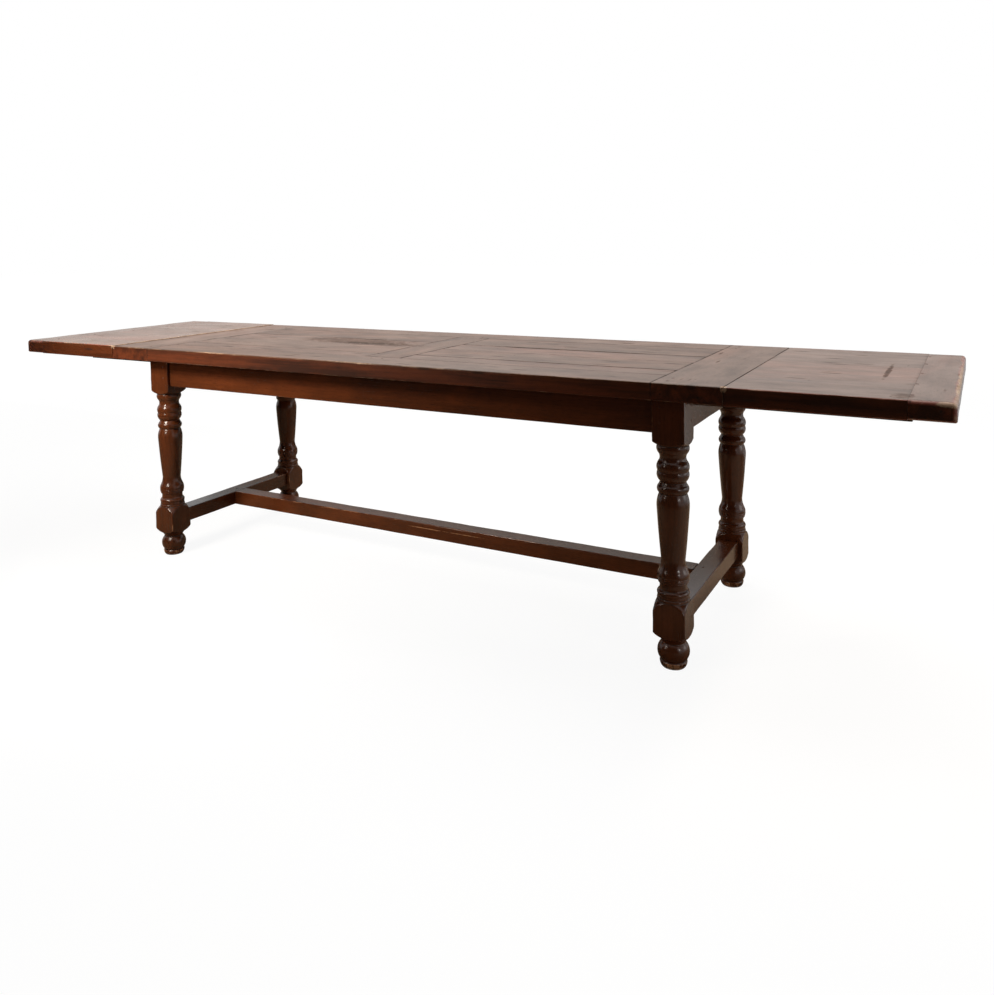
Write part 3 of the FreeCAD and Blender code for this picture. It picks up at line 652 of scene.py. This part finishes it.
class Finish:
    """A node tree and short forms for the nodes that finishes use."""

    def __init__(self, tree):
        self.tree = tree
        tree.nodes.clear()

    def node(self, kind, settings, sockets, output=0):
        """Adds a node with its settings, sets or links each socket, and returns one of its outputs."""
        node = self.tree.nodes.new(kind)
        for key, value in settings.items():
            setattr(node, key, value)
        for key, value in sockets.items():
            if isinstance(value, Tone):
                self.tree.links.new(value.socket, node.inputs[key])
            else:
                node.inputs[key].default_value = value
        return Tone(self, node.outputs[output]) if node.outputs else node

    def trait(self, name, output):
        return self.node("ShaderNodeAttribute", {"attribute_name": name}, {}, output)

    def split(self, vector):
        return [self.node("ShaderNodeSeparateXYZ", {}, {0: vector}, axis) for axis in range(3)]

    def vector(self, x, y, z):
        return self.node("ShaderNodeCombineXYZ", {}, {0: x, 1: y, 2: z})

    def noise(self, vector, detail=2.0, roughness=0.5, scale=1.0):
        sockets = {"Vector": vector, "Scale": scale, "Detail": detail, "Roughness": roughness}
        return self.node("ShaderNodeTexNoise", {"noise_dimensions": "3D"}, sockets)

    def cells(self, vector):
        """Distance to the nearest of the scattered points, and that point's own random number."""
        sockets = {"Vector": vector, "Scale": 1.0}
        distance = self.node("ShaderNodeTexVoronoi", {"feature": "F1"}, sockets, "Distance")
        number = self.node("ShaderNodeTexVoronoi", {"feature": "F1"}, sockets, "Color")
        return distance, self.split(number)[0]

    def smooth(self, value, low, high):
        settings = {"interpolation_type": "SMOOTHSTEP"}
        return self.node("ShaderNodeMapRange", settings, {"Value": value, 1: low, 2: high, 3: 0.0, 4: 1.0})

    def mix(self, factor, first, second):
        settings = {"data_type": "RGBA", "clamp_factor": True}
        return self.node("ShaderNodeMix", settings, {0: factor, 6: first, 7: second}, 2)


def shade(red, green, blue):
    """Linear colour of a display colour given from 0 to 255."""
    parts = np.array([red, green, blue]) / 255
    linear = np.where(parts <= 0.04045, parts / 12.92, ((parts + 0.055) / 1.055) ** 2.4)
    return (*linear.tolist(), 1.0)


def new_finish(name):
    material = bpy.data.materials.new(name)
    material.use_nodes = True
    return material, Finish(material.node_tree)


def surface(finish, sockets):
    """Principled surface and the material's output."""
    shader = finish.node("ShaderNodeBsdfPrincipled", {}, sockets)
    finish.node("ShaderNodeOutputMaterial", {}, {"Surface": shader})


RING_WIDTH = 6.0 * MM
BUMP_HEIGHT = 0.35 * MM
BLOT_FINENESS = 45.0
GRIME = shade(17, 11, 8)


def blot(finish, place, middle, reach):
    """Ragged ellipsoid: one inside, falling to nought at its reach from its middle."""
    spans = [((axis - centre) / span) ** 2 for axis, centre, span in zip(place, middle, reach)]
    waver = finish.noise(finish.vector(*place), 3.0, 0.65, BLOT_FINENESS)
    return 1 - finish.smooth(spans[0] + spans[1] + spans[2] + 2.2 * (waver - 0.5), 0.1, 1.0)


def growth(finish, along, wide, thick):
    """Late wood of the rings about a log's heart, which bend round knots, and each knot's reach and core."""
    distance, pick = finish.cells(finish.vector(along * 1.7, wide * 4.2, thick * 1.5))
    has_knot = finish.smooth(pick, 0.78, 0.8)
    knot = has_knot * (1 - finish.smooth(distance, 0.01, 0.2))
    knot_core = has_knot * (1 - finish.smooth(distance, 0.012, 0.04))
    drift = finish.noise(finish.vector(along * 0.9, wide * 5, thick * 5))
    bend = finish.noise(finish.vector(along * 4, wide * 24, thick * 24))
    heart = ((wide + 0.05 * (drift - 0.5)) ** 2 + (thick + 0.03 * (drift - 0.5)) ** 2) ** 0.5
    saw = (heart / RING_WIDTH + 0.9 * bend + 3.5 * knot) % 1.0
    late = finish.smooth(saw, 0.25, 0.9) * (1 - finish.smooth(saw, 0.9, 1.0))
    return late, knot, knot_core


def table_marks(finish, along, wide, thick, cloud, streak, patch):
    """Marks of use: scattered dots, short dashes along the grain and broken scratches across it."""
    spot, pick_spot = finish.cells(finish.vector(along * 30, wide * 30, thick * 30))
    dot = (1 - finish.smooth(spot, 0.03, 0.1)) * finish.smooth(pick_spot, 0.94, 0.95)
    dash_spot, pick_dash = finish.cells(finish.vector(along * 11, wide * 75, thick * 75))
    dash = (1 - finish.smooth(dash_spot, 0.15, 0.4)) * finish.smooth(pick_dash, 0.9, 0.92)
    line = (along * 5.5 + wide * 9 + 0.35 * cloud + 0.1 * streak) % 1.0
    scratch = (1 - finish.smooth(line, 0.0, 0.012)) * finish.smooth(patch, 0.5, 0.62)
    return 0.9 * dot + 0.7 * dash + 0.4 * scratch


def stained_wood(name, light, dark, bare, rough, specular, grain=1.0, marks=0.0, relief=0.2, joint=4 * MM,
                 grime=1.0, warm=None, edge=None, arris=None, blots=(), chips_and_highlights=(), has_traits=True):
    """Stained and varnished wood, sawn from a log, with grime in its joints and bare wood where it is worn.

    light, dark and bare are its colours, warm is a second pair that drifts in, edge a redder pair on the edge
    faces that paints the warm front light there, and arris a light colour that rubbed arrises take, part wear
    and part painted highlight. grain, marks, grime and relief are the strengths of its figure, marks of use,
    grime and bump, and joint is the reach of the grime. Its pale patches of bare colour are in part chips and
    in part painted highlights and reflections. Without traits it follows the object's axes.
    """
    material, finish = new_finish(name)
    place = finish.split(finish.node("ShaderNodeTexCoord", {}, {}, "Object"))
    if has_traits:
        along, wide, thick = finish.split(finish.trait("log", "Vector"))
        seam = finish.trait("seam", "Fac")
        worn = finish.trait("worn", "Fac")
        tint = finish.trait("tint", "Fac")
    else:
        along, wide, thick = place
        seam = SEAM_REACH
        worn = 0.0
        tint = 0.0

    late, knot, knot_core = growth(finish, along, wide, thick)
    fibre = finish.noise(finish.vector(along * 12, wide * 420, thick * 420), 3.0, 0.6)
    streak = finish.noise(finish.vector(along * 2.6, wide * 46, thick * 46), 4.0, 0.6)
    cloud = finish.noise(finish.vector(along * 5.5, wide * 13, thick * 13), 4.0, 0.6)
    pore = finish.smooth(finish.noise(finish.vector(along * 50, wide * 800, thick * 800), 1.0), 0.6, 0.7)
    patch = finish.noise(finish.vector(along * 20, wide * 55, thick * 55), 3.0, 0.65)

    figure = 0.3 * (late - 0.4) + 0.8 * (fibre - 0.5) + 1.1 * (streak - 0.5)
    tone = 0.5 + grain * figure + 1.5 * (cloud - 0.5) + 0.1 * tint
    colour = finish.mix(tone, light, dark)
    colour = finish.mix(0.04 - 0.04 * finish.smooth(tint, LEFT_LEAF_TINT, -1.0), colour, bare)
    if warm:
        area = finish.noise(finish.vector(along * 1.8, wide * 6, thick * 6), 3.0, 0.6)
        colour = finish.mix(finish.smooth(area, 0.42, 0.68), colour, finish.mix(tone, *warm))
    # Painted warm light: the edge faces take a redder copy of the stain, standing in for the warm front lamp
    # on them.
    if edge:
        warm_lit_edge_tone = tone + 2.4 * (streak - 0.5)
        colour = finish.mix(finish.trait("edge_face", "Fac"), colour, finish.mix(warm_lit_edge_tone, *edge))
    # Painted highlight: rubbed arrises are lightened towards the arris colour, part wear and part the light
    # that they catch.
    if arris:
        colour = finish.mix(0.6 * worn, colour, arris)
    colour = finish.mix(0.4 * pore + 0.75 * knot_core + 0.2 * knot, colour, GRIME)

    ragged = seam + 0.8 * joint * (patch - 0.5)
    in_joint = 1 - finish.smooth(ragged, 0.6 * MM, joint)
    dirt = grime * in_joint * finish.smooth(patch + 0.6 * cloud, 0.62, 0.85)
    if marks:
        dirt = dirt + marks * table_marks(finish, along, wide, thick, cloud, streak, patch)
    for middle, reach, depth in blots:
        dirt = dirt + depth * blot(finish, place, middle, reach)
    colour = finish.mix(0.85 * dirt, colour, GRIME)
    rub_and_highlight = worn ** 2 * finish.smooth(patch + 0.5 * streak, 0.72, 1.0)
    # Chips of bare wood, and pale patches that paint highlights and reflections.
    for middle, reach in chips_and_highlights:
        rub_and_highlight = rub_and_highlight + blot(finish, place, middle, reach)
    colour = finish.mix(0.65 * rub_and_highlight, colour, bare)

    roughness = rough + 0.05 * (streak - 0.5) + 0.2 * (cloud - 0.5) + 0.018 * tint
    roughness = roughness + 0.12 * rub_and_highlight + 0.45 * dirt + 0.06 * pore
    height = 0.45 * fibre - 0.7 * pore - 0.2 * late - 0.8 * dirt
    bump = {"Strength": relief, "Distance": BUMP_HEIGHT, "Height": height}
    surface(finish, {
        "Base Color": colour,
        "Roughness": roughness,
        "Normal": finish.node("ShaderNodeBump", {}, bump),
        "Specular IOR Level": specular,
    })
    return material


def aged_steel(name):
    """Dull dark screw steel with spots of rust."""
    material, finish = new_finish(name)
    place = finish.node("ShaderNodeTexCoord", {}, {}, "Object")
    rust = finish.smooth(finish.noise(place, 3.0, scale=900.0), 0.48, 0.62)
    surface(finish, {
        "Base Color": finish.mix(rust, shade(96, 92, 88), shade(74, 42, 26)),
        "Metallic": 1 - rust,
        "Roughness": 0.38 + 0.4 * rust,
    })
    return material


front_edge = corners("top_front_rail")[0][1]
top_level = corners("top_front_rail")[1][2]
chip_level = top_level - 2 * MM
clamp_chip_level = top_level - 5 * MM
left_leaf_level = top_level + 2 * MM

# Dark stains: middle, reach and depth. Chips that show bare wood, and pale bands that paint highlights and
# reflections: middle and reach.
TOP_STAINS = (
    ((-0.34, 0.045, top_level), (0.28, 0.09, 0.02), 0.45),
    ((-0.22, 0.0, top_level), (0.22, 0.05, 0.02), 0.4),
)
LEAF_STAINS = (
    ((1.428, 0.0, top_level), (0.008, 0.17, 0.02), 0.8),
    ((1.49, -0.38, top_level), (0.03, 0.04, 0.02), 0.5),
)
TOP_CHIPS = (
    ((-1.098, front_edge, chip_level), (0.006, 0.02, 0.012)),
    ((1.098, front_edge, chip_level), (0.006, 0.02, 0.012)),
    ((-0.03, front_edge, top_level), (0.1, 0.005, 0.004)),
    ((-0.6, front_edge, top_level), (0.1, 0.004, 0.003)),
)
LEAF_CHIPS_AND_HIGHLIGHTS = (
    ((-1.104, front_edge, top_level), (0.006, 0.02, 0.012)),
    ((1.104, front_edge, chip_level), (0.006, 0.02, 0.012)),
    # Painted reflection: a pale band along the clamp's end face stands in for the bright reflection that it
    # gives, with some wear.
    ((1.598, -0.12, clamp_chip_level), (0.008, 0.45, 0.014)),
    ((1.585, -0.425, clamp_chip_level), (0.03, 0.012, 0.008)),
    # Painted highlight: a pale strip along the left leaf's inner arris stands in for the light it catches,
    # with some rubbing.
    ((-1.104, 0.0, left_leaf_level), (0.0055, 0.75, 0.006)),
)
FRAME_CHIPS = (
    ((-0.02, -0.029, 0.1425), (0.1, 0.004, 0.0022)),
    ((0.15, -0.029, 0.1425), (0.08, 0.003, 0.002)),
)

INNER_COLOURS = (shade(88, 56, 36), shade(48, 30, 20), shade(130, 94, 64))

finishes = {
    # Top wood: its edge pair paints the warm front light on the edge faces.
    "top_wood": stained_wood(
        "top_wood", shade(102, 70, 44), shade(54, 36, 22), shade(180, 147, 120), 0.4, 0.22,
        grain=0.3, marks=1.0, relief=0.06, joint=5 * MM, warm=(shade(115, 74, 43), shade(61, 38, 22)),
        edge=(shade(106, 53, 30), shade(56, 28, 16)), blots=TOP_STAINS, chips_and_highlights=TOP_CHIPS),
    # Leaf wood: its edge pair paints the warm front light on the edge faces, and its arris colour paints a
    # highlight on the rubbed arrises.
    "leaf_wood": stained_wood(
        "leaf_wood", shade(112, 76, 48), shade(68, 45, 28), shade(200, 172, 144), 0.34, 0.25,
        grain=0.12, marks=1.2, relief=0.02, joint=3 * MM, grime=0.2,
        warm=(shade(130, 81, 49), shade(79, 48, 29)), edge=(shade(99, 51, 28), shade(53, 27, 14)),
        arris=shade(150, 72, 52), blots=LEAF_STAINS, chips_and_highlights=LEAF_CHIPS_AND_HIGHLIGHTS),
    "frame_wood": stained_wood(
        "frame_wood", shade(98, 50, 25), shade(51, 26, 13), shade(176, 128, 92), 0.21, 0.32,
        grain=0.35, relief=0.06, chips_and_highlights=FRAME_CHIPS),
    "inner_wood": stained_wood("inner_wood", *INNER_COLOURS, 0.6, 0.3),
    "peg_wood": stained_wood(
        "peg_wood", shade(90, 47, 24), shade(48, 25, 13), shade(150, 108, 76), 0.5, 0.15),
    "screw_steel": aged_steel("screw_steel"),
}
button_wood = stained_wood("button_wood", *INNER_COLOURS, 0.6, 0.3, has_traits=False)

# Frame of the top
top_low, top_high = corners("top_front_rail")
end_inner = corners("top_right_end_rail")[0][0]
rail_inner = top_high[1]
centre_half = corners("top_centre_rail")[1][0]
lay_board("top_front_rail", (-end_inner, top_low[1], top_low[2]), (end_inner, rail_inner, top_high[2]),
          "xyz", ("-y",), TOP_RAIL_SEED, nicks=TOP_NICKS, pitch=FINE_PITCH)
lay_board("top_rear_rail", (-end_inner, -rail_inner, top_low[2]), (end_inner, -top_low[1], top_high[2]),
          "xyz", ("+y",), TOP_RAIL_SEED + 1, nicks=TOP_NICKS)
lay_board("top_centre_rail", (-centre_half, rail_inner, top_low[2]), (centre_half, -rail_inner, top_high[2]),
          "yxz", (), TOP_RAIL_SEED + 2)
for side, sign in SIDES:
    node = f"top_{side}_end_rail"
    low, high = corners(node)
    outward = "-x" if sign < 0 else "+x"
    lay_board(node, low, high, "yxz", ("-y", "+y", outward), END_RAIL_SEED + sign, nicks=TOP_NICKS,
              sheltered=(outward,), tint=LEFT_RAIL_TINT if sign < 0 else None, joint=TIGHT_JOINT)

# Planks of the two panels, each from the edge of the one before it
for side, sign in SIDES:
    edge = rail_inner
    x_low, x_high = sorted((sign * centre_half, sign * end_inner))
    for count, drop in enumerate(PLANK_DROPS, start=1):
        node = f"top_{side}_plank_{count}"
        far = min(corners(node)[1][1], -rail_inner)
        lay_board(node, (x_low, edge, top_low[2]), (x_high, far, top_high[2]), "xyz", (),
                  PLANK_SEED + BOARD_SEED_STEP * sign + count,
                  drop=drop * (LEFT_DROP_SHARE if sign < 0 else 1), joint=TIGHT_JOINT if sign < 0 else 1.0)
        edge = far

# Leaves
for side, sign in SIDES:
    clamp = f"{side}_leaf_clamp"
    low, high = corners(clamp)
    inward, outward = ("-x", "+x")[::sign]
    tint = LEFT_LEAF_TINT if sign < 0 else RIGHT_LEAF_TINT
    lay_board(clamp, low, high, "yxz", ("-y", "+y", outward), CLAMP_SEED + sign, edge=CLAMP_ARRIS,
              nicks=TOP_NICKS, tint=tint, joint=TIGHT_JOINT)
    edge = low[1]
    for count in range(1, 6):
        node = f"{side}_leaf_board_{count}"
        start, stop = corners(node)
        x_low, x_high = (high[0], stop[0]) if sign < 0 else (start[0], low[0])
        open_sides = [inward] + ["-y"] * (count == 1) + ["+y"] * (count == 5)
        lay_board(node, (x_low, edge, start[2]), (x_high, stop[1], stop[2]), "xyz", open_sides,
                  LEAF_SEED + BOARD_SEED_STEP * sign + count, nicks=TOP_NICKS, sheltered=(inward,), tint=tint,
                  joint=TIGHT_JOINT)
        edge = stop[1]

# Arms, and the pieces that are notched for them
notches = []
for place in ("front", "rear"):
    low, high = corners(f"right_leaf_{place}_arm")
    notches.append((low[1] - ARM_SIDE_CLEAR, high[1] + ARM_SIDE_CLEAR, high[2] - low[2] + ARM_SEAT_CLEAR))
    for side, sign in SIDES:
        node = f"{side}_leaf_{place}_arm"
        low, high = corners(node)
        top_end = corners(f"top_{side}_end_rail")[sign > 0][0]
        planed = (low[0], top_end) if sign > 0 else (top_end, high[0])
        lay_board(node, low, high, "xyz", ("-x", "+x", "-y", "+y"),
                  ARM_SEED + ARM_SEED_STEP * sign + len(notches),
                  edge=STRETCHER_ARRIS, notches=[(*planed, ARM_TOP_CLEAR)])

# Aprons, guides and stretchers, each run a little way into what carries its ends
leg_low, leg_high = corners("front_right_leg")
inner_x = leg_low[0] + INTO_LEG
inner_y = leg_high[1] - INTO_LEG
for face, node in enumerate(("front_apron", "rear_apron")):
    low, high = corners(node)
    low[0], high[0] = -inner_x, inner_x
    lay_board(node, low, high, "xzy", ("-z",), APRON_SEED + face)
for side, sign in SIDES:
    node = f"{side}_end_apron"
    low, high = corners(node)
    low[1], high[1] = inner_y, -inner_y
    lay_board(node, low, high, "yxz", ("-x", "+x"), END_APRON_SEED + sign, edge=STRETCHER_ARRIS,
              notches=notches)
    node = f"{side}_arm_guide"
    low, high = corners(node)
    lay_board(node, low, high, "yxz", ("-x", "+x"), GUIDE_SEED + sign, edge=STRETCHER_ARRIS, notches=notches)
    node = f"{side}_end_stretcher"
    low, high = corners(node)
    low[1], high[1] = inner_y, -inner_y
    lay_board(node, low, high, "yxz", ("-x", "+x"), END_STRETCHER_SEED + sign, edge=STRETCHER_ARRIS,
              nicks=STRETCHER_NICKS)
low, high = corners("centre_stretcher")
stretcher_x = corners("right_end_stretcher")[0][0]
low[0], high[0] = -stretcher_x, stretcher_x
lay_board("centre_stretcher", low, high, "xyz", ("-y", "+y"), CENTRE_STRETCHER_SEED, edge=STRETCHER_ARRIS,
          nicks=STRETCHER_NICKS, pitch=FINE_PITCH)

# Legs and pegs
for count, node in enumerate(sorted(node for node in frame["nodes"] if node.endswith("_leg"))):
    leg(node, LEG_SEED + count)
for count, node in enumerate(sorted(node for node in frame["nodes"] if node.endswith("_pegs"))):
    pegs(node, PEG_SEED + count)

# Buttons and screws keep their own shapes
for node in frame["nodes"].values():
    if not node.hide_render:
        is_button = node.name == "top_buttons"
        node.data.materials.clear()
        node.data.materials.append(button_wood if is_button else finishes[slot_of[node.name]])

# Floor, screen, light and camera
FLOOR_SIZE = 60.0
FLOOR_NEAR = (0.93, 0.93, 0.93, 1)
FLOOR_FAR = (1, 1, 1, 1)
FLOOR_FADE = (1.5, 7.0)
FLOOR_LIT = shade(95, 95, 95)
FLOOR_BOUNCE = shade(70, 68, 66)
CURTAIN_X = (-8.0, 4.0)
CURTAIN_OUTLINE = ((-2.5, 3.0), (-2.5, 0.004))
MAT_X = (-8.0, 4.0)
MAT_OUTLINE = ((-2.5, 0.004), (1.4, 0.004))
MAT_FADE = (-2.1, -0.7)
CLOTH_DARK = shade(80, 78, 76)
MAT_PALE = shade(176, 156, 132)
MAT_GLOW = shade(160, 146, 128)
GLOW_X = (0.96, 1.15)
GLOW_Y = ((-1.2, -0.5), (0.15, 0.55))
SCREEN_X = (-2.6, 1.6)
SCREEN_OUTLINE = ((1.4, 0.0), (1.4, 0.72))
SCREEN_PALE = shade(200, 191, 178)
WORLD_FILL = 0.06


def seen_directly(finish):
    """One where the eye, a reflection or a view through glass meets the backdrop, and nought for light."""
    rays = ("Is Camera Ray", "Is Glossy Ray", "Is Transmission Ray")
    camera_ray, glossy, through = (finish.node("ShaderNodeLightPath", {}, {}, ray) for ray in rays)
    return camera_ray + glossy + through


def pale_floor():
    """White floor that keeps the shadow: it glows to the eye and in reflections, and bounces little light."""
    material, finish = new_finish("pale_floor")
    seen = seen_directly(finish)
    x, y, _ = finish.split(finish.node("ShaderNodeTexCoord", {}, {}, "Object"))
    far = finish.smooth((x ** 2 + y ** 2) ** 0.5, *FLOOR_FADE)
    matt = finish.node("ShaderNodeBsdfDiffuse", {}, {"Color": finish.mix(seen, FLOOR_BOUNCE, FLOOR_LIT)})
    glow = finish.mix(seen, (0, 0, 0, 1), finish.mix(far, FLOOR_NEAR, FLOOR_FAR))
    shine = finish.node("ShaderNodeEmission", {}, {"Color": glow, "Strength": 1.0})
    both = finish.node("ShaderNodeAddShader", {}, {0: matt, 1: shine})
    finish.node("ShaderNodeOutputMaterial", {}, {"Surface": both})
    return material


def matt_cloth(name, near, far):
    """Matt cloth of the screens and the mat: one shade near the table, one in front, and a glowing patch."""
    material, finish = new_finish(name)
    x, y, _ = finish.split(finish.node("ShaderNodeTexCoord", {}, {}, "Object"))
    colour = finish.mix(finish.smooth(y, *MAT_FADE), far, near)
    lit = finish.smooth(x, *GLOW_X) * finish.smooth(y, *GLOW_Y[0]) * (1 - finish.smooth(y, *GLOW_Y[1]))
    surface(finish, {
        "Base Color": colour,
        "Roughness": 1.0,
        "Specular IOR Level": 0.0,
        "Emission Color": finish.mix(lit, (0, 0, 0, 1), MAT_GLOW),
        "Emission Strength": 1.0,
    })
    return material


def stage_piece(name, points, faces, finish):
    """Flat-faced stage piece."""
    mesh = bpy.data.meshes.new(name)
    mesh.from_pydata(points, [], faces)
    mesh.materials.append(finish)
    piece = bpy.data.objects.new(name, mesh)
    bpy.context.scene.collection.objects.link(piece)
    return piece


def hung_cloth(name, x_range, outline, finish):
    """Cloth of one outline all along the table, met by reflections and soft light but not seen itself."""
    points = [(x, y, z) for y, z in outline for x in x_range]
    faces = [(low, low + 1, low + 3, low + 2) for low in range(0, len(points) - 2, 2)]
    cloth = stage_piece(name, points, faces, finish)
    cloth.visible_camera = False
    cloth.visible_shadow = False


def studio_world():
    """White surroundings to the eye and in reflections, with a lower level for the light that they give."""
    world = bpy.data.worlds.new("studio")
    world.use_nodes = True
    finish = Finish(world.node_tree)
    level = WORLD_FILL + (1 - WORLD_FILL) * seen_directly(finish)
    sky = finish.node("ShaderNodeBackground", {}, {"Color": (1, 1, 1, 1), "Strength": level})
    finish.node("ShaderNodeOutputWorld", {}, {"Surface": sky})
    bpy.context.scene.world = world


def softbox(name, place, aim, size, power, colour, spread):
    """Rectangular lamp at a place, turned to face its aim."""
    lamp = bpy.data.lights.new(name, "AREA")
    lamp.shape = "RECTANGLE"
    lamp.size, lamp.size_y = size
    lamp.energy = power
    lamp.color = colour
    lamp.spread = spread
    light = bpy.data.objects.new(name, lamp)
    light.location = place
    light.rotation_euler = (Vector(aim) - Vector(place)).to_track_quat("-Z", "Y").to_euler()
    light.visible_camera = False
    bpy.context.scene.collection.objects.link(light)


square = np.array([(-1, -1, 0), (1, -1, 0), (1, 1, 0), (-1, 1, 0)])
stage_piece("floor", square * FLOOR_SIZE / 2, [(0, 1, 2, 3)], pale_floor())
mat_cloth = matt_cloth("mat_cloth", MAT_PALE, CLOTH_DARK)
hung_cloth("dark_curtain", CURTAIN_X, CURTAIN_OUTLINE, mat_cloth)
hung_cloth("floor_mat", MAT_X, MAT_OUTLINE, mat_cloth)
hung_cloth("pale_screen", SCREEN_X, SCREEN_OUTLINE, matt_cloth("pale_cloth", SCREEN_PALE, CLOTH_DARK))
studio_world()

# Lamps: name, place, aim, width and height, watts, colour, spread
WARM = (1, 0.92, 0.82)
PLAIN = (1, 0.98, 0.95)
LAMPS = (
    ("overhead", (0.2, 0.9, 3.4), (0, 0, 0.7), (4.5, 2.4), 150, PLAIN, TURN / 2),
    ("right", (4.2, 1.2, 1.3), (0.9, 0, 0.5), (1.6, 1.2), 16, PLAIN, TURN / 2),
    ("front_left", (-1.0, -1.9, 1.7), (-0.55, 0, 0.3), (0.5, 0.5), 9.2, WARM, math.radians(72)),
    ("left_glint", (-0.9, -1.9, 1.1), (-0.75, 0, 0.25), (0.14, 0.18), 2.2, WARM, math.radians(100)),
    ("right_glint", (2.6, -1.25, 0.95), (0.85, -0.45, 0.1), (0.25, 0.15), 0.25, PLAIN, math.radians(44)),
)
for lamp in LAMPS:
    softbox(*lamp)

# Camera at the photograph's place, its lens and shift worked out for a frame of 994 by 995 pixels
FRAME_WIDTH = 994
FRAME_HEIGHT = 995
SENSOR = 36.0
FAR_CLIP = 200.0
FOCAL_PIXELS = 900.0
CENTRE_PIXEL = (469.6, 289.7)
CAMERA_PLACE = (1.6490, -2.5994, 1.1406)
CAMERA_YAW = 0.5220
CAMERA_DIP = 0.0568
CAMERA_ROLL = -0.0163

lens = bpy.data.cameras.new("camera")
lens.sensor_width = SENSOR
lens.lens = FOCAL_PIXELS * SENSOR / FRAME_HEIGHT
lens.shift_x = (FRAME_WIDTH / 2 - CENTRE_PIXEL[0]) / FRAME_HEIGHT
lens.shift_y = (CENTRE_PIXEL[1] - FRAME_HEIGHT / 2) / FRAME_HEIGHT
lens.clip_end = FAR_CLIP
camera = bpy.data.objects.new("camera", lens)
turn = Matrix.Rotation(CAMERA_YAW, 4, "Z") @ Matrix.Rotation(TURN / 4 - CAMERA_DIP, 4, "X")
camera.matrix_world = Matrix.Translation(CAMERA_PLACE) @ turn @ Matrix.Rotation(CAMERA_ROLL, 4, "Z")
bpy.context.scene.collection.objects.link(camera)
bpy.context.scene.camera = camera
bpy.context.scene.view_settings.view_transform = "Standard"
